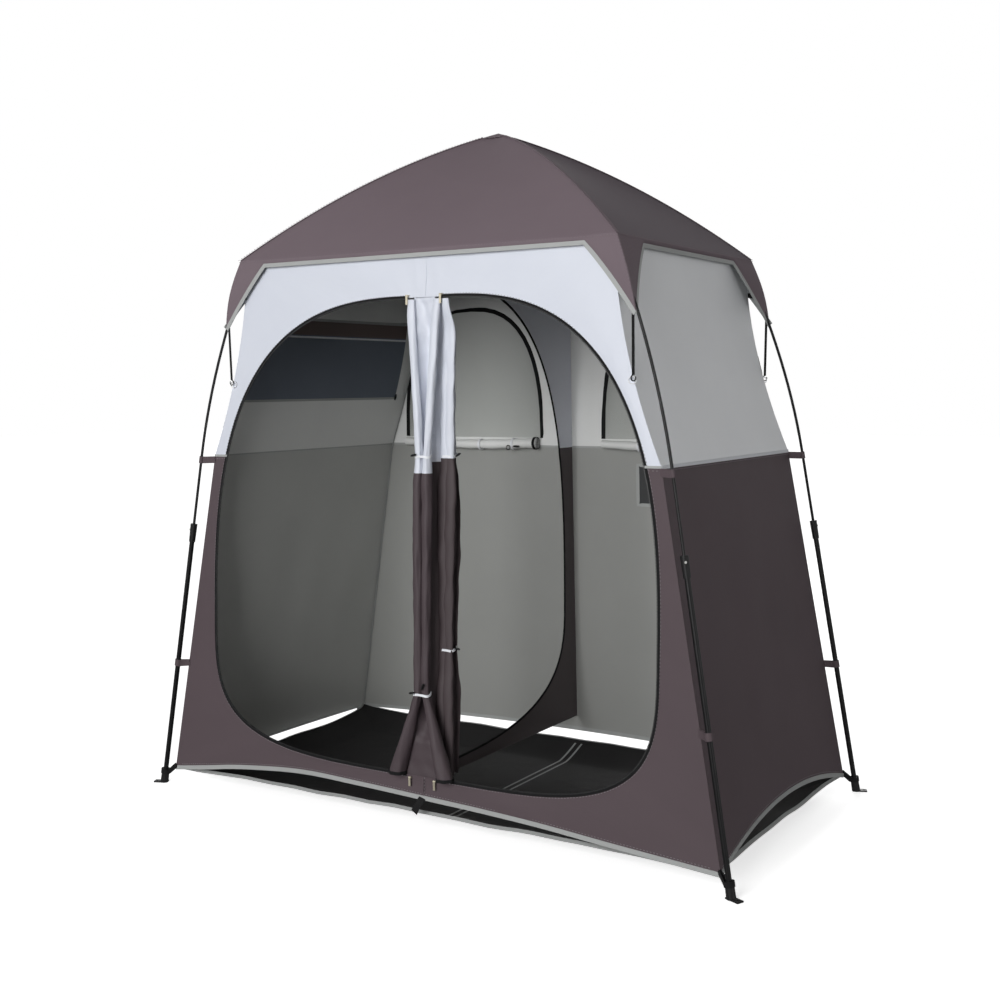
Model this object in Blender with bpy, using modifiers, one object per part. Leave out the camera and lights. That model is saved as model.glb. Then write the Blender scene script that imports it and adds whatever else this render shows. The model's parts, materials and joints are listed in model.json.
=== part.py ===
# A two-room privacy shower tent on a folding hub frame, pitched, in metres with +Z up.
# The long side runs along X, the doors face -Y and the ground is at Z 0.

import math

import bmesh
import bpy
from mathutils import Matrix, Vector

# Cloth and fits
CLOTH = 0.002  # thickness of a sheet
GAP = 0.0003  # between pieces that touch
FIT = 0.0004  # round a rod, tube or pin in its bore
SEAM_GAP = 0.0009  # between two panels that meet at an angle

# Width, from the door openings outwards
DOOR_REACH = 0.803  # half the width of the openings at their waist
DOOR_POST = 0.093  # wall beside the openings at their waist
HEM_FLARE = 0.0975  # hem outside the waist
SEAM_DRAW = 0.091  # colour seam inside the waist
EAVE_DRAW = 0.132  # eave inside the colour seam
HEM_X = DOOR_REACH + DOOR_POST + HEM_FLARE
SEAM_X = DOOR_REACH + DOOR_POST - SEAM_DRAW
EAVE_X = SEAM_X - EAVE_DRAW

# Tent body: half depths of its outside, and heights, at the hem and at the colour seam
HEM_Y, HEM_Z = 0.523, 0.051
SEAM_Y, SEAM_Z = 0.490, 1.120
TOP_INSET = 0.013  # body's top corner inside the eave
TOP_DROP = 0.010  # body's top edge below the eave
CORNER_CURVE = 1.8  # power of the hollow corner line above the seam
FRONT_HEM_RISE = 0.064  # how far the hems arch up between the corners
REAR_HEM_RISE = 0.030
LEFT_HEM_RISE, RIGHT_HEM_RISE = 0.006, 0.075

# Canopy
PEAK_Z = 2.150
EAVE_Y, EAVE_Z = 0.488, 1.746
HIP_BOW = 0.045  # rise of the hips over a straight line
VALANCE = 0.016
FLAP_FRONT, FLAP_SIDE = 0.098, 0.158  # root of a corner flap, from the corner along the hem
FLAP_DROP = 0.215  # flap's tip below the eave
TIP_OUT_X, TIP_OUT_Y = 0.008, 0.016  # flap's tip outside the leg
STRAP_WIDTH, STRAP_LENGTH = 0.014, 0.165
HOOK_RADIUS, HOOK_WIRE = 0.009, 0.002

# Hub and roof poles
ROD_RADIUS = 0.0045
HUB_RADIUS, HUB_HEIGHT = 0.042, 0.026
HUB_UNDER = 0.0234  # hub pins below the roof over the hub's rim
HUB_PIN_CIRCLE = 0.032
HUB_SLOT = 0.0074
HUB_SLOT_FLOOR = 0.020  # radius where the slots start
HUB_WEB = 0.006  # left over the slots
DOME_RADIUS = 0.012
PIN_RADIUS = 0.002
EYE_RADIUS, EYE_HEIGHT = 0.005, 0.008
EYE_REACH = 0.020  # from the hub pin to the round of the pole
POLE_UNDER = 0.00977  # middle of a roof pole's run under the canopy's face

# Elbows
ELBOW_INSET, ELBOW_DROP = 0.024, 0.022  # pin inside the eave's corner, and below the hip
FOLD_ANGLE = math.radians(60)  # a roof pole's swing from pitched to folded
TONGUE, TONGUE_RADIUS = 0.005, 0.0068
EAR, EAR_RADIUS = 0.0025, 0.008
EAR_PLAY = 0.0004
YOKE_START, YOKE_END = 0.0095, 0.022  # solid part of the bracket behind the pin
SOCKET_RADIUS, SOCKET_END = 0.0075, 0.046
POLE_END = 0.026  # roof pole's end, short of the pin
PIN_HEAD, PIN_HEAD_RADIUS = 0.0012, 0.0034
LEG_START = 0.013  # round of the leg below the pin
SCALLOP = 0.036  # radius cut from the walls' top corners round an elbow

# Legs
LEG_OUT_X, LEG_OUT_Y = 0.040, 0.020  # leg outside the body's corner at the seam
FOOT_OUT_X, FOOT_OUT_Y = 0.029, 0.017  # and at the hem
BEND_SHARE = 0.479  # reach of the bend above the seam, of the height to the eave
TUBE_RADIUS, TUBE_BORE = 0.008, 0.0054
TUBE_TOP_Z = 0.862
ROD_END_Z = 0.740
LOCK_RADIUS, LOCK_LENGTH, LOCK_GRIP = 0.0115, 0.060, 0.030
BUTTON_RADIUS, BUTTON_LENGTH, BUTTON_PROUD = 0.0034, 0.0056, 0.0028
BUTTON_FACE = (0.53, 0.85)  # heading of a button, as shares of X and Y
BUTTON_UP = 0.012  # above the top of the tube

# Feet
SLEEVE_RADIUS, SLEEVE_HEIGHT, SOLE = 0.0125, 0.046, 0.006
TAB_REACH, TAB_WIDTH, TAB_THICK = 0.034, 0.022, 0.0045
PEG_HOLE, PEG_AT = 0.0035, 0.024

# Pole loops, sewn to the corners of the lower panels
LOOP_HEIGHT, LOOP_WALL, LOOP_PLAY = 0.018, 0.0014, 0.0006
LOOP_LOW_Z, LOOP_MIDDLE_Z = 0.068, 0.420
LOOP_UNDER_SEAM = 0.014

# Doors
DOOR_WAIST_Z, DOOR_TOP_Z, DOOR_SILL_Z = 0.604, 1.602, 0.172
DOOR_TOP_POWER, DOOR_SILL_POWER = 2.7, 3.7
STRIP_X, STRIP_WIDTH = 0.036, 0.120
UPPER_TIE_Z, LOWER_TIE_Z = 1.135, 0.425
DOOR_FOLDS, FOLD_SHARE = 6, 0.20
FOLD_TURN = math.radians(138)  # turn of the folds over the door's height
FULLEST = 0.1  # below the upper tie, where a bundle is fullest
UNDER_TOP, OVER_SILL = 0.05, 0.002
# The two rolled doors at the top, under the top, upper tie, fullest, lower tie and sill
ROLL_WIDTHS = (0.012, 0.013, 0.0125, 0.0160, 0.0135, 0.025)
ROLL_DEPTHS = (0.0035, 0.006, 0.0125, 0.0175, 0.0140, 0.024)
ROLL_APART = (0.047, 0.044, 0.0130, 0.0165, 0.0140, 0.088)  # from the strip's middle
# The divider's door at the top, upper tie, fullest, its own lower tie, bulge and sill
CURTAIN_WIDTHS = (0.010, 0.022, 0.029, 0.023, 0.031, 0.026)
CURTAIN_DEPTHS = (0.003, 0.010, 0.018)  # top, under the top, then the rest
CURTAIN_TIE_UP = 0.13  # its lower tie over the front doors'
CURTAIN_BULGE = 0.16  # its bulge under that tie
CURTAIN_SHIFT, CURTAIN_DRAW = 0.013, 0.026  # along the wall, at the top and at the ties
CURTAIN_INSIDE = (0.030, 0.056)  # inside the wall, under the top and at the ties

# Divider between the rooms
DIVIDER_TOP_Z, DIVIDER_HEM_Z = 1.700, 0.130
DIVIDER_FRONT = 0.055  # its front edge inside the front wall
WAY_BACK_Y, WAY_TOP_Z, WAY_SILL_Z, WAY_WAIST_Z = 0.426, 1.640, 0.165, 0.570
WAY_FRONT = 0.022  # width of the strip in front of the way through
WAY_POWER = 3.0

# Windows and pocket
SIDE_WINDOW_Y, SIDE_WINDOW_LOW, SIDE_WINDOW_HIGH = 0.420, 1.300, 1.575
REAR_WINDOW_IN = 0.380  # its middle inside the body's corner at the seam
REAR_WINDOW_HALF, REAR_WINDOW_TOP = 0.300, 1.625
REAR_WINDOW_SILL = 0.030  # above the seam
WINDOW_POWER = 2.6
ROLL_RADIUS = 0.018
POCKET_X, POCKET_WIDTH, POCKET_HEIGHT, POCKET_UNDER_SEAM = 0.41, 0.30, 0.14, 0.06

# Floor mat
MAT_INSET = 0.034  # edge inside the hem, between the corners
MAT_RIM, MAT_RIM_WIDTH = 0.044, 0.085
MAT_CLOTH = 0.003
MAT_POINT = 6  # power that draws the corners out

# Trim
PULL_WIDTH, PULL_LENGTH, PULL_THICK, PULL_BARREL = 0.007, 0.026, 0.0016, 0.0036
TAB_STRAP_WIDTH, TAB_STRAP_OUT, TAB_STRAP_DROP = 0.026, 0.012, 0.048

CORNERS = {
    "front_left": (-1, -1),
    "front_right": (1, -1),
    "rear_left": (-1, 1),
    "rear_right": (1, 1),
}
OUTWARD = {
    "front": Vector((0, -1, 0)),
    "rear": Vector((0, 1, 0)),
    "left": Vector((-1, 0, 0)),
    "right": Vector((1, 0, 0)),
}
UP = Vector((0, 0, 1))
ROUND_SIDES = 16

TOP_X, TOP_Y, TOP_Z = EAVE_X - TOP_INSET, EAVE_Y - TOP_INSET, EAVE_Z - TOP_DROP
EAVE_REACH = math.hypot(EAVE_X, EAVE_Y)
ROOF_LEAN = math.hypot(1, (PEAK_Z - EAVE_Z) / EAVE_Y)  # height over thickness on the steeper roof faces
HUB_SHARE = HUB_RADIUS / EAVE_Y
HUB_PIN_Z = PEAK_Z - HUB_UNDER - HUB_SHARE * (PEAK_Z - EAVE_Z - 4 * HIP_BOW * (1 - HUB_SHARE))
LEG_BEND = BEND_SHARE * (EAVE_Z - SEAM_Z)
LOOP_LEVELS = LOOP_LOW_Z, LOOP_MIDDLE_Z, SEAM_Z - LOOP_UNDER_SEAM
REAR_WINDOW_X = SEAM_X - REAR_WINDOW_IN
LAP = 0.004  # how far lumps that are joined reach into each other
EAR_SPACE = TONGUE + 2 * EAR_PLAY
BRACKET_WIDTH = EAR_SPACE + 2 * EAR


# Scene and object helpers


def clear_scene():
    for obj in list(bpy.data.objects):
        bpy.data.objects.remove(obj, do_unlink=True)


def new_collection(name):
    collection = bpy.data.collections.new(name)
    bpy.context.scene.collection.children.link(collection)
    return collection


def material(name, colour, roughness, metallic=0.0):
    mat = bpy.data.materials.new(name)
    mat.use_nodes = True
    shader = mat.node_tree.nodes["Principled BSDF"]
    shader.inputs["Base Color"].default_value = (*colour, 1)
    shader.inputs["Roughness"].default_value = roughness
    shader.inputs["Metallic"].default_value = metallic
    return mat


def add_object(name, data, mat=None, origin=None):
    obj = bpy.data.objects.new(name, data)
    PARTS.objects.link(obj)
    if mat:
        data.materials.append(mat)
    if origin is not None:
        data.transform(Matrix.Translation(-Vector(origin)))
        obj.location = origin
    return obj


def mesh_from(bm, name):
    bmesh.ops.recalc_face_normals(bm, faces=bm.faces)
    mesh = bpy.data.meshes.new(name)
    bm.to_mesh(mesh)
    bm.free()
    mesh.shade_smooth()
    mesh.set_sharp_from_angle(angle=math.radians(35))
    return mesh


def axes(origin, x_axis, z_axis):
    z = Vector(z_axis).normalized()
    x = (Vector(x_axis) - z * z.dot(x_axis)).normalized()
    turned = Matrix((x, z.cross(x), z)).transposed().to_4x4()
    return Matrix.Translation(origin) @ turned


def along(a, b):
    z = (b - a).normalized()
    side = UP if abs(z.dot(UP)) < 0.9 else Vector((1, 0, 0))
    return axes(a.lerp(b, 0.5), side, z)


def cylinder(bm, a, b, radius, end_radius=None, sides=ROUND_SIDES):
    a, b = Vector(a), Vector(b)
    bmesh.ops.create_cone(
        bm, cap_ends=True, segments=sides, radius1=radius,
        radius2=radius if end_radius is None else end_radius,
        depth=(b - a).length, matrix=along(a, b),
    )


def box(bm, place, low, high):
    low, high = Vector(low), Vector(high)
    size = Matrix.Diagonal((*(high - low), 1))
    bmesh.ops.create_cube(bm, size=1, matrix=place @ Matrix.Translation((low + high) / 2) @ size)


def helper(build):
    bm = bmesh.new()
    build(bm)
    obj = bpy.data.objects.new("cutter", mesh_from(bm, "cutter"))
    return obj


def combine(obj, other, operation):
    HELPERS.objects.link(other)
    other.hide_render = True
    other.display_type = "WIRE"
    modifier = obj.modifiers.new(operation.lower(), "BOOLEAN")
    modifier.operation = operation
    modifier.solver = "EXACT"
    modifier.object = other


def cut(obj, build):
    combine(obj, helper(build), "DIFFERENCE")


def join(obj, build):
    combine(obj, helper(build), "UNION")


def tube_mesh(points, radius, name):
    curve = bpy.data.curves.new(name, "CURVE")
    curve.dimensions = "3D"
    curve.bevel_depth = radius
    curve.bevel_resolution = 2
    curve.use_fill_caps = True
    spline = curve.splines.new("POLY")
    spline.points.add(len(points) - 1)
    for point, at in zip(spline.points, points):
        point.co = (*at, 1)
    return as_mesh(bpy.data.objects.new(name, curve))


def as_mesh(obj):
    PARTS.objects.link(obj)
    graph = bpy.context.evaluated_depsgraph_get()
    mesh = bpy.data.meshes.new_from_object(obj.evaluated_get(graph))
    mesh.transform(obj.matrix_world)
    bm = bmesh.new()
    bm.from_mesh(mesh)
    bmesh.ops.remove_doubles(bm, verts=bm.verts, dist=1e-6)
    bpy.data.objects.remove(obj)
    return mesh_from(bm, mesh.name)


def loft(rings):
    bm = bmesh.new()
    made = [[bm.verts.new(p) for p in ring] for ring in rings]
    for lower, upper in zip(made, made[1:]):
        for i in range(len(lower)):
            j = (i + 1) % len(lower)
            bm.faces.new((lower[i], lower[j], upper[j], upper[i]))
    bm.faces.new(made[0])
    bm.faces.new(made[-1])
    return bm


# Body lines: where the corners of the tent body stand at a height


def mix(a, b, t):
    return a + (b - a) * t


def body_x(z):
    if z <= SEAM_Z:
        return mix(HEM_X, SEAM_X, (z - HEM_Z) / (SEAM_Z - HEM_Z))
    return TOP_X + (SEAM_X - TOP_X) * max(0, 1 - (z - SEAM_Z) / (TOP_Z - SEAM_Z)) ** CORNER_CURVE


def body_y(z):
    if z <= SEAM_Z:
        return mix(HEM_Y, SEAM_Y, (z - HEM_Z) / (SEAM_Z - HEM_Z))
    return mix(SEAM_Y, TOP_Y, (z - SEAM_Z) / (TOP_Z - SEAM_Z))


def round_edge(z, waist, top, sill, start, reach, top_power, sill_power):
    above = z >= waist
    height, power = (top - waist, top_power) if above else (waist - sill, sill_power)
    share = min(1, abs(z - waist) / height)
    return start + (reach - start) * (1 - share**power) ** (1 / power)


def rising(low, high, steps):
    return [mix(low, high, math.sin(i / steps * math.pi / 2)) for i in range(steps + 1)]


# Frame lines


def hip_z(reach):
    s = reach / EAVE_REACH
    return mix(PEAK_Z, EAVE_Z, s) + 4 * HIP_BOW * s * (1 - s)


class Corner:
    # The frame's points and axes at one corner

    def __init__(self, sx, sy):
        self.sx, self.sy = sx, sy
        self.out = Vector((sx * EAVE_X, sy * EAVE_Y, 0)).normalized()
        self.tangent = UP.cross(self.out)  # a turn about it lowers the roof pole
        self.hub_pin = self.out * HUB_PIN_CIRCLE + UP * HUB_PIN_Z
        reach = EAVE_REACH - ELBOW_INSET
        self.elbow = self.out * reach + UP * (hip_z(reach) - ELBOW_DROP)
        self.bend = Vector((sx * (SEAM_X + LEG_OUT_X), sy * (SEAM_Y + LEG_OUT_Y), SEAM_Z))
        hem = Vector((sx * (HEM_X + FOOT_OUT_X), sy * (HEM_Y + FOOT_OUT_Y), HEM_Z))
        self.leg_up = (self.bend - hem).normalized()
        self.foot = hem - self.leg_up * (HEM_Z / self.leg_up.z)
        rest = (self.foot - self.elbow).normalized()
        folded = Matrix.Rotation(-FOLD_ANGLE, 3, self.tangent) @ -UP
        self.elbow_axis = rest.cross(folded).normalized()
        self.elbow_turn = rest.angle(folded)
        self.hub_rise = self.drop_of_foot()
        heading = Vector((sx * BUTTON_FACE[0], sy * BUTTON_FACE[1], 0))
        self.button_out = (heading - self.leg_up * self.leg_up.dot(heading)).normalized()

    def drop_of_foot(self):
        # How far the foot would sink if the pole and leg folded under a hub that stayed put
        swung = Matrix.Rotation(FOLD_ANGLE, 3, self.tangent) @ (self.elbow - self.hub_pin)
        return (self.foot - self.elbow).length - swung.z - self.hub_pin.z

    def on_leg(self, z):
        return self.foot + self.leg_up * (z / self.leg_up.z)

    def pole_path(self, start, end, steps=16):
        # The bowed roof pole, from start after the hub pin to end before the elbow pin
        chord = self.elbow - self.hub_pin
        middle = (self.elbow + self.hub_pin) / 2
        bow = hip_z(middle.xy.length) - POLE_UNDER * ROOF_LEAN - middle.z
        first, last = start / chord.length, 1 - end / chord.length
        path = []
        for i in range(steps + 1):
            t = mix(first, last, i / steps)
            path.append(self.hub_pin + chord * t + UP * (4 * bow * t * (1 - t)))
        return path

    def leg_curve(self, t):
        knee = self.bend + self.leg_up * LEG_BEND
        return self.elbow * (1 - t) ** 2 + knee * (2 * t * (1 - t)) + self.bend * t**2

    def leg_at(self, z):
        low, high = 0.0, 1.0
        for _ in range(40):
            middle = (low + high) / 2
            if self.leg_curve(middle).z > z:
                low = middle
            else:
                high = middle
        return self.leg_curve(low)


# Frame


def make_hub():
    curve_top = []
    slope = math.atan((PEAK_Z - EAVE_Z - 4 * HIP_BOW) / EAVE_Y)
    dome_z = PEAK_Z - (DOME_RADIUS + CLOTH + 2 * GAP) / math.cos(slope)
    for i in range(7):
        a = i / 6 * math.radians(80)
        curve_top.append((DOME_RADIUS * math.sin(a), dome_z + DOME_RADIUS * math.cos(a)))
    low, high = HUB_PIN_Z - HUB_HEIGHT / 2, HUB_PIN_Z + HUB_HEIGHT / 2
    shoulder = [(DOME_RADIUS, high + LAP), (HUB_RADIUS - 2.5 * LAP, high), (HUB_RADIUS, high - LAP)]
    profile = curve_top + shoulder + [(HUB_RADIUS, low), (0, low)]
    bm = bmesh.new()
    points = [bm.verts.new((r, 0, z - HUB_PIN_Z)) for r, z in profile]
    for a, b in zip(points, points[1:]):
        bm.edges.new((a, b))
    mesh = bpy.data.meshes.new("hub")
    bm.to_mesh(mesh)
    bm.free()
    hub = add_object("hub", mesh, PLASTIC)
    hub.location = (0, 0, HUB_PIN_Z)
    screw = hub.modifiers.new("turn", "SCREW")
    screw.steps = screw.render_steps = 32
    screw.use_merge_vertices = True
    screw.merge_threshold = 0.00005
    for corner in FRAME.values():
        place = axes(UP * HUB_PIN_Z, corner.out, UP)
        top = HUB_HEIGHT / 2 - HUB_WEB
        slot = (HUB_SLOT_FLOOR, -HUB_SLOT / 2, -HUB_HEIGHT), (2 * HUB_RADIUS, HUB_SLOT / 2, top)
        cut(hub, lambda bm, place=place, slot=slot: box(bm, place, *slot))
        side = corner.tangent * (HUB_SLOT / 2 + LAP)
        ends = corner.hub_pin - side, corner.hub_pin + side
        join(hub, lambda bm, ends=ends: cylinder(bm, *ends, PIN_RADIUS))


def make_roof_pole(name, corner):
    path = corner.pole_path(EYE_REACH - LAP / 2, POLE_END)
    pole = add_object(f"roof_pole_{name}", tube_mesh(path, ROD_RADIUS, "pole"), FIBREGLASS, corner.hub_pin)
    half = HUB_SLOT / 2 - FIT
    side = corner.tangent * half
    heading = (path[0] - corner.hub_pin).normalized()
    place = axes(corner.hub_pin, heading, corner.tangent)
    low, high = (0, -EYE_HEIGHT / 2, -half), (EYE_REACH, EYE_HEIGHT / 2, half)
    join(pole, lambda bm: box(bm, place, low, high))
    join(pole, lambda bm: cylinder(bm, corner.hub_pin - side, corner.hub_pin + side, EYE_RADIUS))
    ends = corner.hub_pin - 2 * side, corner.hub_pin + 2 * side
    cut(pole, lambda bm: cylinder(bm, *ends, PIN_RADIUS + FIT))


def make_elbow(name, corner):
    pin, axis = corner.elbow, corner.elbow_axis
    path = corner.pole_path(EYE_REACH, 0)
    heading = (path[-1] - path[-2]).normalized()
    place = axes(pin, heading, axis)
    half = BRACKET_WIDTH / 2
    bm = bmesh.new()
    cylinder(bm, pin - axis * half, pin + axis * half, EAR_RADIUS)
    bracket = add_object(f"elbow_bracket_{name}", mesh_from(bm, "bracket"), PLASTIC, pin)
    join(bracket, lambda bm: box(bm, place, (-YOKE_END, -EAR_RADIUS, -half), (0, EAR_RADIUS, half)))
    back = pin - heading * (YOKE_END - LAP), pin - heading * SOCKET_END
    join(bracket, lambda bm: cylinder(bm, *back, SOCKET_RADIUS))
    inner = (-YOKE_START, -2 * EAR_RADIUS, -EAR_SPACE / 2), (2 * EAR_RADIUS, 2 * EAR_RADIUS, EAR_SPACE / 2)
    cut(bracket, lambda bm: box(bm, place, *inner))
    cut(bracket, lambda bm: cylinder(bm, pin - axis * 2 * half, pin + axis * 2 * half, PIN_RADIUS + FIT))
    bore = tube_mesh(corner.pole_path(EYE_REACH, POLE_END - GAP), ROD_RADIUS + FIT, "bore")
    combine(bracket, bpy.data.objects.new("bore", bore), "DIFFERENCE")

    bm = bmesh.new()
    reach = half + GAP
    cylinder(bm, pin - axis * (reach + PIN_HEAD), pin + axis * (reach + PIN_HEAD), PIN_RADIUS)
    pin_obj = add_object(f"elbow_pin_{name}", mesh_from(bm, "pin"), STEEL, pin)
    for side in (-1, 1):
        ends = pin + axis * side * reach, pin + axis * side * (reach + PIN_HEAD)
        join(pin_obj, lambda bm, ends=ends: cylinder(bm, *ends, PIN_HEAD_RADIUS))


def make_leg(name, corner):
    # Upper rod, hung on the elbow pin, bent, then straight down into the tube
    pin, axis = corner.elbow, corner.elbow_axis
    curve = [corner.leg_curve(i / 14) for i in range(15)]
    heading = (curve[1] - curve[0]).normalized()
    path = [pin + heading * LEG_START] + curve[1:] + [corner.on_leg(mix(SEAM_Z, ROD_END_Z, 0.5))]
    path.append(corner.on_leg(ROD_END_Z))
    leg = add_object(f"upper_leg_{name}", tube_mesh(path, ROD_RADIUS, "leg"), FIBREGLASS, pin)
    half = axis * (TONGUE / 2)
    place = axes(pin, heading, axis)
    tongue = (0, -TONGUE_RADIUS * 0.7, -TONGUE / 2), (LEG_START + LAP, TONGUE_RADIUS * 0.7, TONGUE / 2)
    join(leg, lambda bm: box(bm, place, *tongue))
    join(leg, lambda bm: cylinder(bm, pin - half, pin + half, TONGUE_RADIUS))
    cut(leg, lambda bm: cylinder(bm, pin - 2 * half, pin + 2 * half, PIN_RADIUS + FIT))

    # Lower tube
    bottom = corner.foot + corner.leg_up * SOLE
    top = corner.on_leg(TUBE_TOP_Z)
    bm = bmesh.new()
    cylinder(bm, bottom, top, TUBE_RADIUS)
    tube = add_object(f"lower_leg_{name}", mesh_from(bm, "tube"), STEEL_BLACK, corner.foot)
    cut(tube, lambda bm: cylinder(bm, bottom + corner.leg_up * SOLE, top + corner.leg_up * SOLE, TUBE_BORE))

    # Lock collar over the tube's top, with its push button
    low, high = top - corner.leg_up * LOCK_GRIP, top + corner.leg_up * (LOCK_LENGTH - LOCK_GRIP)
    bm = bmesh.new()
    cylinder(bm, low, high, LOCK_RADIUS * 0.9, LOCK_RADIUS)
    lock = add_object(f"leg_lock_{name}", mesh_from(bm, "lock"), PLASTIC, top)
    grip_top = top + corner.leg_up * GAP
    cut(lock, lambda bm: cylinder(bm, low - corner.leg_up * SOLE, grip_top, TUBE_RADIUS + GAP))
    cut(lock, lambda bm: cylinder(bm, low, high + corner.leg_up * SOLE, TUBE_BORE))
    face = top + corner.leg_up * BUTTON_UP
    outer = corner.button_out * (LOCK_RADIUS + BUTTON_PROUD)
    hole = face, face + outer
    cut(lock, lambda bm: cylinder(bm, *hole, BUTTON_RADIUS + GAP))
    bm = bmesh.new()
    cylinder(bm, face + outer - corner.button_out * BUTTON_LENGTH, face + outer, BUTTON_RADIUS)
    add_object(f"lock_button_{name}", mesh_from(bm, "button"), STEEL, face + outer)


def make_foot(name, corner):
    top = corner.foot + corner.leg_up * SLEEVE_HEIGHT
    heading = Vector((corner.sx, corner.sy * 0.45, 0)).normalized()
    place = axes(corner.foot, heading, UP)
    bm = bmesh.new()
    cylinder(bm, corner.foot - corner.leg_up * SLEEVE_RADIUS, top, SLEEVE_RADIUS * 1.1, SLEEVE_RADIUS)
    foot = add_object(f"foot_{name}", mesh_from(bm, "foot"), PLASTIC, corner.foot)
    tab = (-SLEEVE_RADIUS, -TAB_WIDTH / 2, -TAB_THICK), (TAB_REACH, TAB_WIDTH / 2, TAB_THICK)
    join(foot, lambda bm: box(bm, place, *tab))
    under = (-2 * TAB_REACH, -2 * TAB_REACH, -TAB_REACH), (2 * TAB_REACH, 2 * TAB_REACH, 0)
    cut(foot, lambda bm: box(bm, place, *under))
    floor = corner.foot + corner.leg_up * (SOLE - GAP)
    cut(foot, lambda bm: cylinder(bm, floor, top + corner.leg_up * SOLE, TUBE_RADIUS + GAP))
    peg = corner.foot + heading * PEG_AT
    cut(foot, lambda bm: cylinder(bm, peg - UP * SOLE, peg + UP * SOLE, PEG_HOLE, sides=12))


# Canopy


def hem_ring(z, x, y, corner_points=None):
    # Twelve points round the canopy: each corner, and the roots of its two flaps
    ring = []
    for i, (sx, sy) in enumerate(((1, -1), (1, 1), (-1, 1), (-1, -1))):
        front = Vector((sx * x * (1 - FLAP_FRONT / EAVE_X), sy * y, z))
        side = Vector((sx * x, sy * y * (1 - FLAP_SIDE / EAVE_Y), z))
        corner = corner_points[i] if corner_points else Vector((sx * x, sy * y, z))
        ring += [side, corner, front] if sx == sy else [front, corner, side]
    return ring


def make_canopy():
    steps = 8
    rings = []
    for i in range(1, steps + 1):
        s = i / steps
        rings.append(hem_ring(hip_z(s * EAVE_REACH), s * EAVE_X, s * EAVE_Y))
    tips = []
    for name in ("front_right", "rear_right", "rear_left", "front_left"):
        tips.append(flap_tip(FRAME[name]))
    rings.append(hem_ring(EAVE_Z - VALANCE, EAVE_X, EAVE_Y, tips))
    bm = bmesh.new()
    made = [[bm.verts.new(p) for p in ring] for ring in rings]
    peak = bm.verts.new((0, 0, PEAK_Z))
    count = len(made[0])
    for i in range(count):
        j = (i + 1) % count
        bm.faces.new((peak, made[0][i], made[0][j]))
        for upper, lower in zip(made, made[1:]):
            bm.faces.new((upper[i], lower[i], lower[j], upper[j]))
    canopy = add_object("canopy", mesh_from(bm, "canopy"), CANOPY_CLOTH)
    thicken(canopy, -1)
    for corner in FRAME.values():
        add_canopy_strap(canopy, corner)


def flap_tip(corner):
    tip = corner.leg_at(EAVE_Z - FLAP_DROP)
    return tip + Vector((corner.sx * TIP_OUT_X, corner.sy * TIP_OUT_Y, 0))


def strap_start(corner):
    # On the front face of the flap, a little above its tip
    tip = flap_tip(corner)
    eave = Vector((corner.sx * EAVE_X, corner.sy * EAVE_Y, EAVE_Z))
    root = Vector((corner.sx * (EAVE_X - FLAP_FRONT), corner.sy * EAVE_Y, EAVE_Z - VALANCE))
    normal = (eave - tip).cross(root - tip).normalized()
    inward = normal if normal.y * corner.sy < 0 else -normal
    return tip.lerp(eave, 0.10).lerp(root, 0.05) + inward * (CLOTH / 2)


def strap_end(corner):
    # The hook catches the body's corner line
    z = EAVE_Z - FLAP_DROP - STRAP_LENGTH
    off = HOOK_WIRE + CLOTH
    return Vector((corner.sx * (body_x(z) + HOOK_RADIUS / 2), corner.sy * (body_y(z) + off), z))


def add_canopy_strap(canopy, corner):
    # The strap leaves the flap in front of the leg and slants in to the body's corner
    start, end = strap_start(corner), strap_end(corner)
    down = (end - start).normalized()
    place = axes(start, (0, corner.sy, 0), down)
    length = (end - start).length
    half = CLOTH * 0.75, STRAP_WIDTH / 2
    join(canopy, lambda bm: box(bm, place, (-half[0], -half[1], 0), (half[0], half[1], length)))
    ring = axes(end + down * HOOK_RADIUS * 0.7, down, (0, corner.sy, 0))

    def hook(bm):
        bent = []
        for i in range(9):
            a = math.radians(180 + i * 33)
            bent.append(ring @ Vector((HOOK_RADIUS * math.cos(a), HOOK_RADIUS * math.sin(a), 0)))
        bm.from_mesh(tube_mesh(bent, HOOK_WIRE, "hook"))

    join(canopy, hook)


def thicken(obj, offset, thickness=CLOTH):
    shell = obj.modifiers.new("cloth", "SOLIDIFY")
    shell.thickness = thickness
    shell.offset = offset
    shell.use_even_offset = True


# Walls


def wall_place(side, level, inset=0.0):
    # Axes of a flat wall: along it, up it and out of it, with the sheet's middle at 0
    out = OUTWARD[side]
    size = HEM_Y, SEAM_Y, TOP_Y
    if side in ("left", "right"):
        size = HEM_X, SEAM_X, TOP_X
    heights = HEM_Z, SEAM_Z, TOP_Z
    i = 0 if level == "lower" else 1
    low = out * size[i] + UP * heights[i]
    high = out * size[i + 1] + UP * heights[i + 1]
    across = UP.cross(out)
    up = (high - low).normalized()
    normal = across.cross(up)
    place = Matrix((across, up, normal)).transposed().to_4x4()
    return Matrix.Translation(low - normal * (CLOTH / 2 + inset)) @ place, heights[i], up.z


def flat_panel(name, outlines, side, level, mat, inset=0.0):
    # A flat sheet on a wall, from outlines of (place along the wall, height)
    place, foot, lean = wall_place(side, level, inset)
    curve = bpy.data.curves.new(name, "CURVE")
    curve.dimensions = "2D"
    curve.fill_mode = "BOTH"
    curve.extrude = CLOTH / 2
    for outline in outlines:
        spline = curve.splines.new("POLY")
        spline.points.add(len(outline) - 1)
        spline.use_cyclic_u = True
        for point, (a, z) in zip(spline.points, outline):
            point.co = (a, (z - foot) / lean, 0, 1)
    flat = bpy.data.objects.new(name, curve)
    flat.matrix_world = place
    PARTS.objects.link(flat)
    bpy.context.view_layer.update()
    PARTS.objects.unlink(flat)
    return add_object(name, as_mesh(flat), mat)


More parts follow.
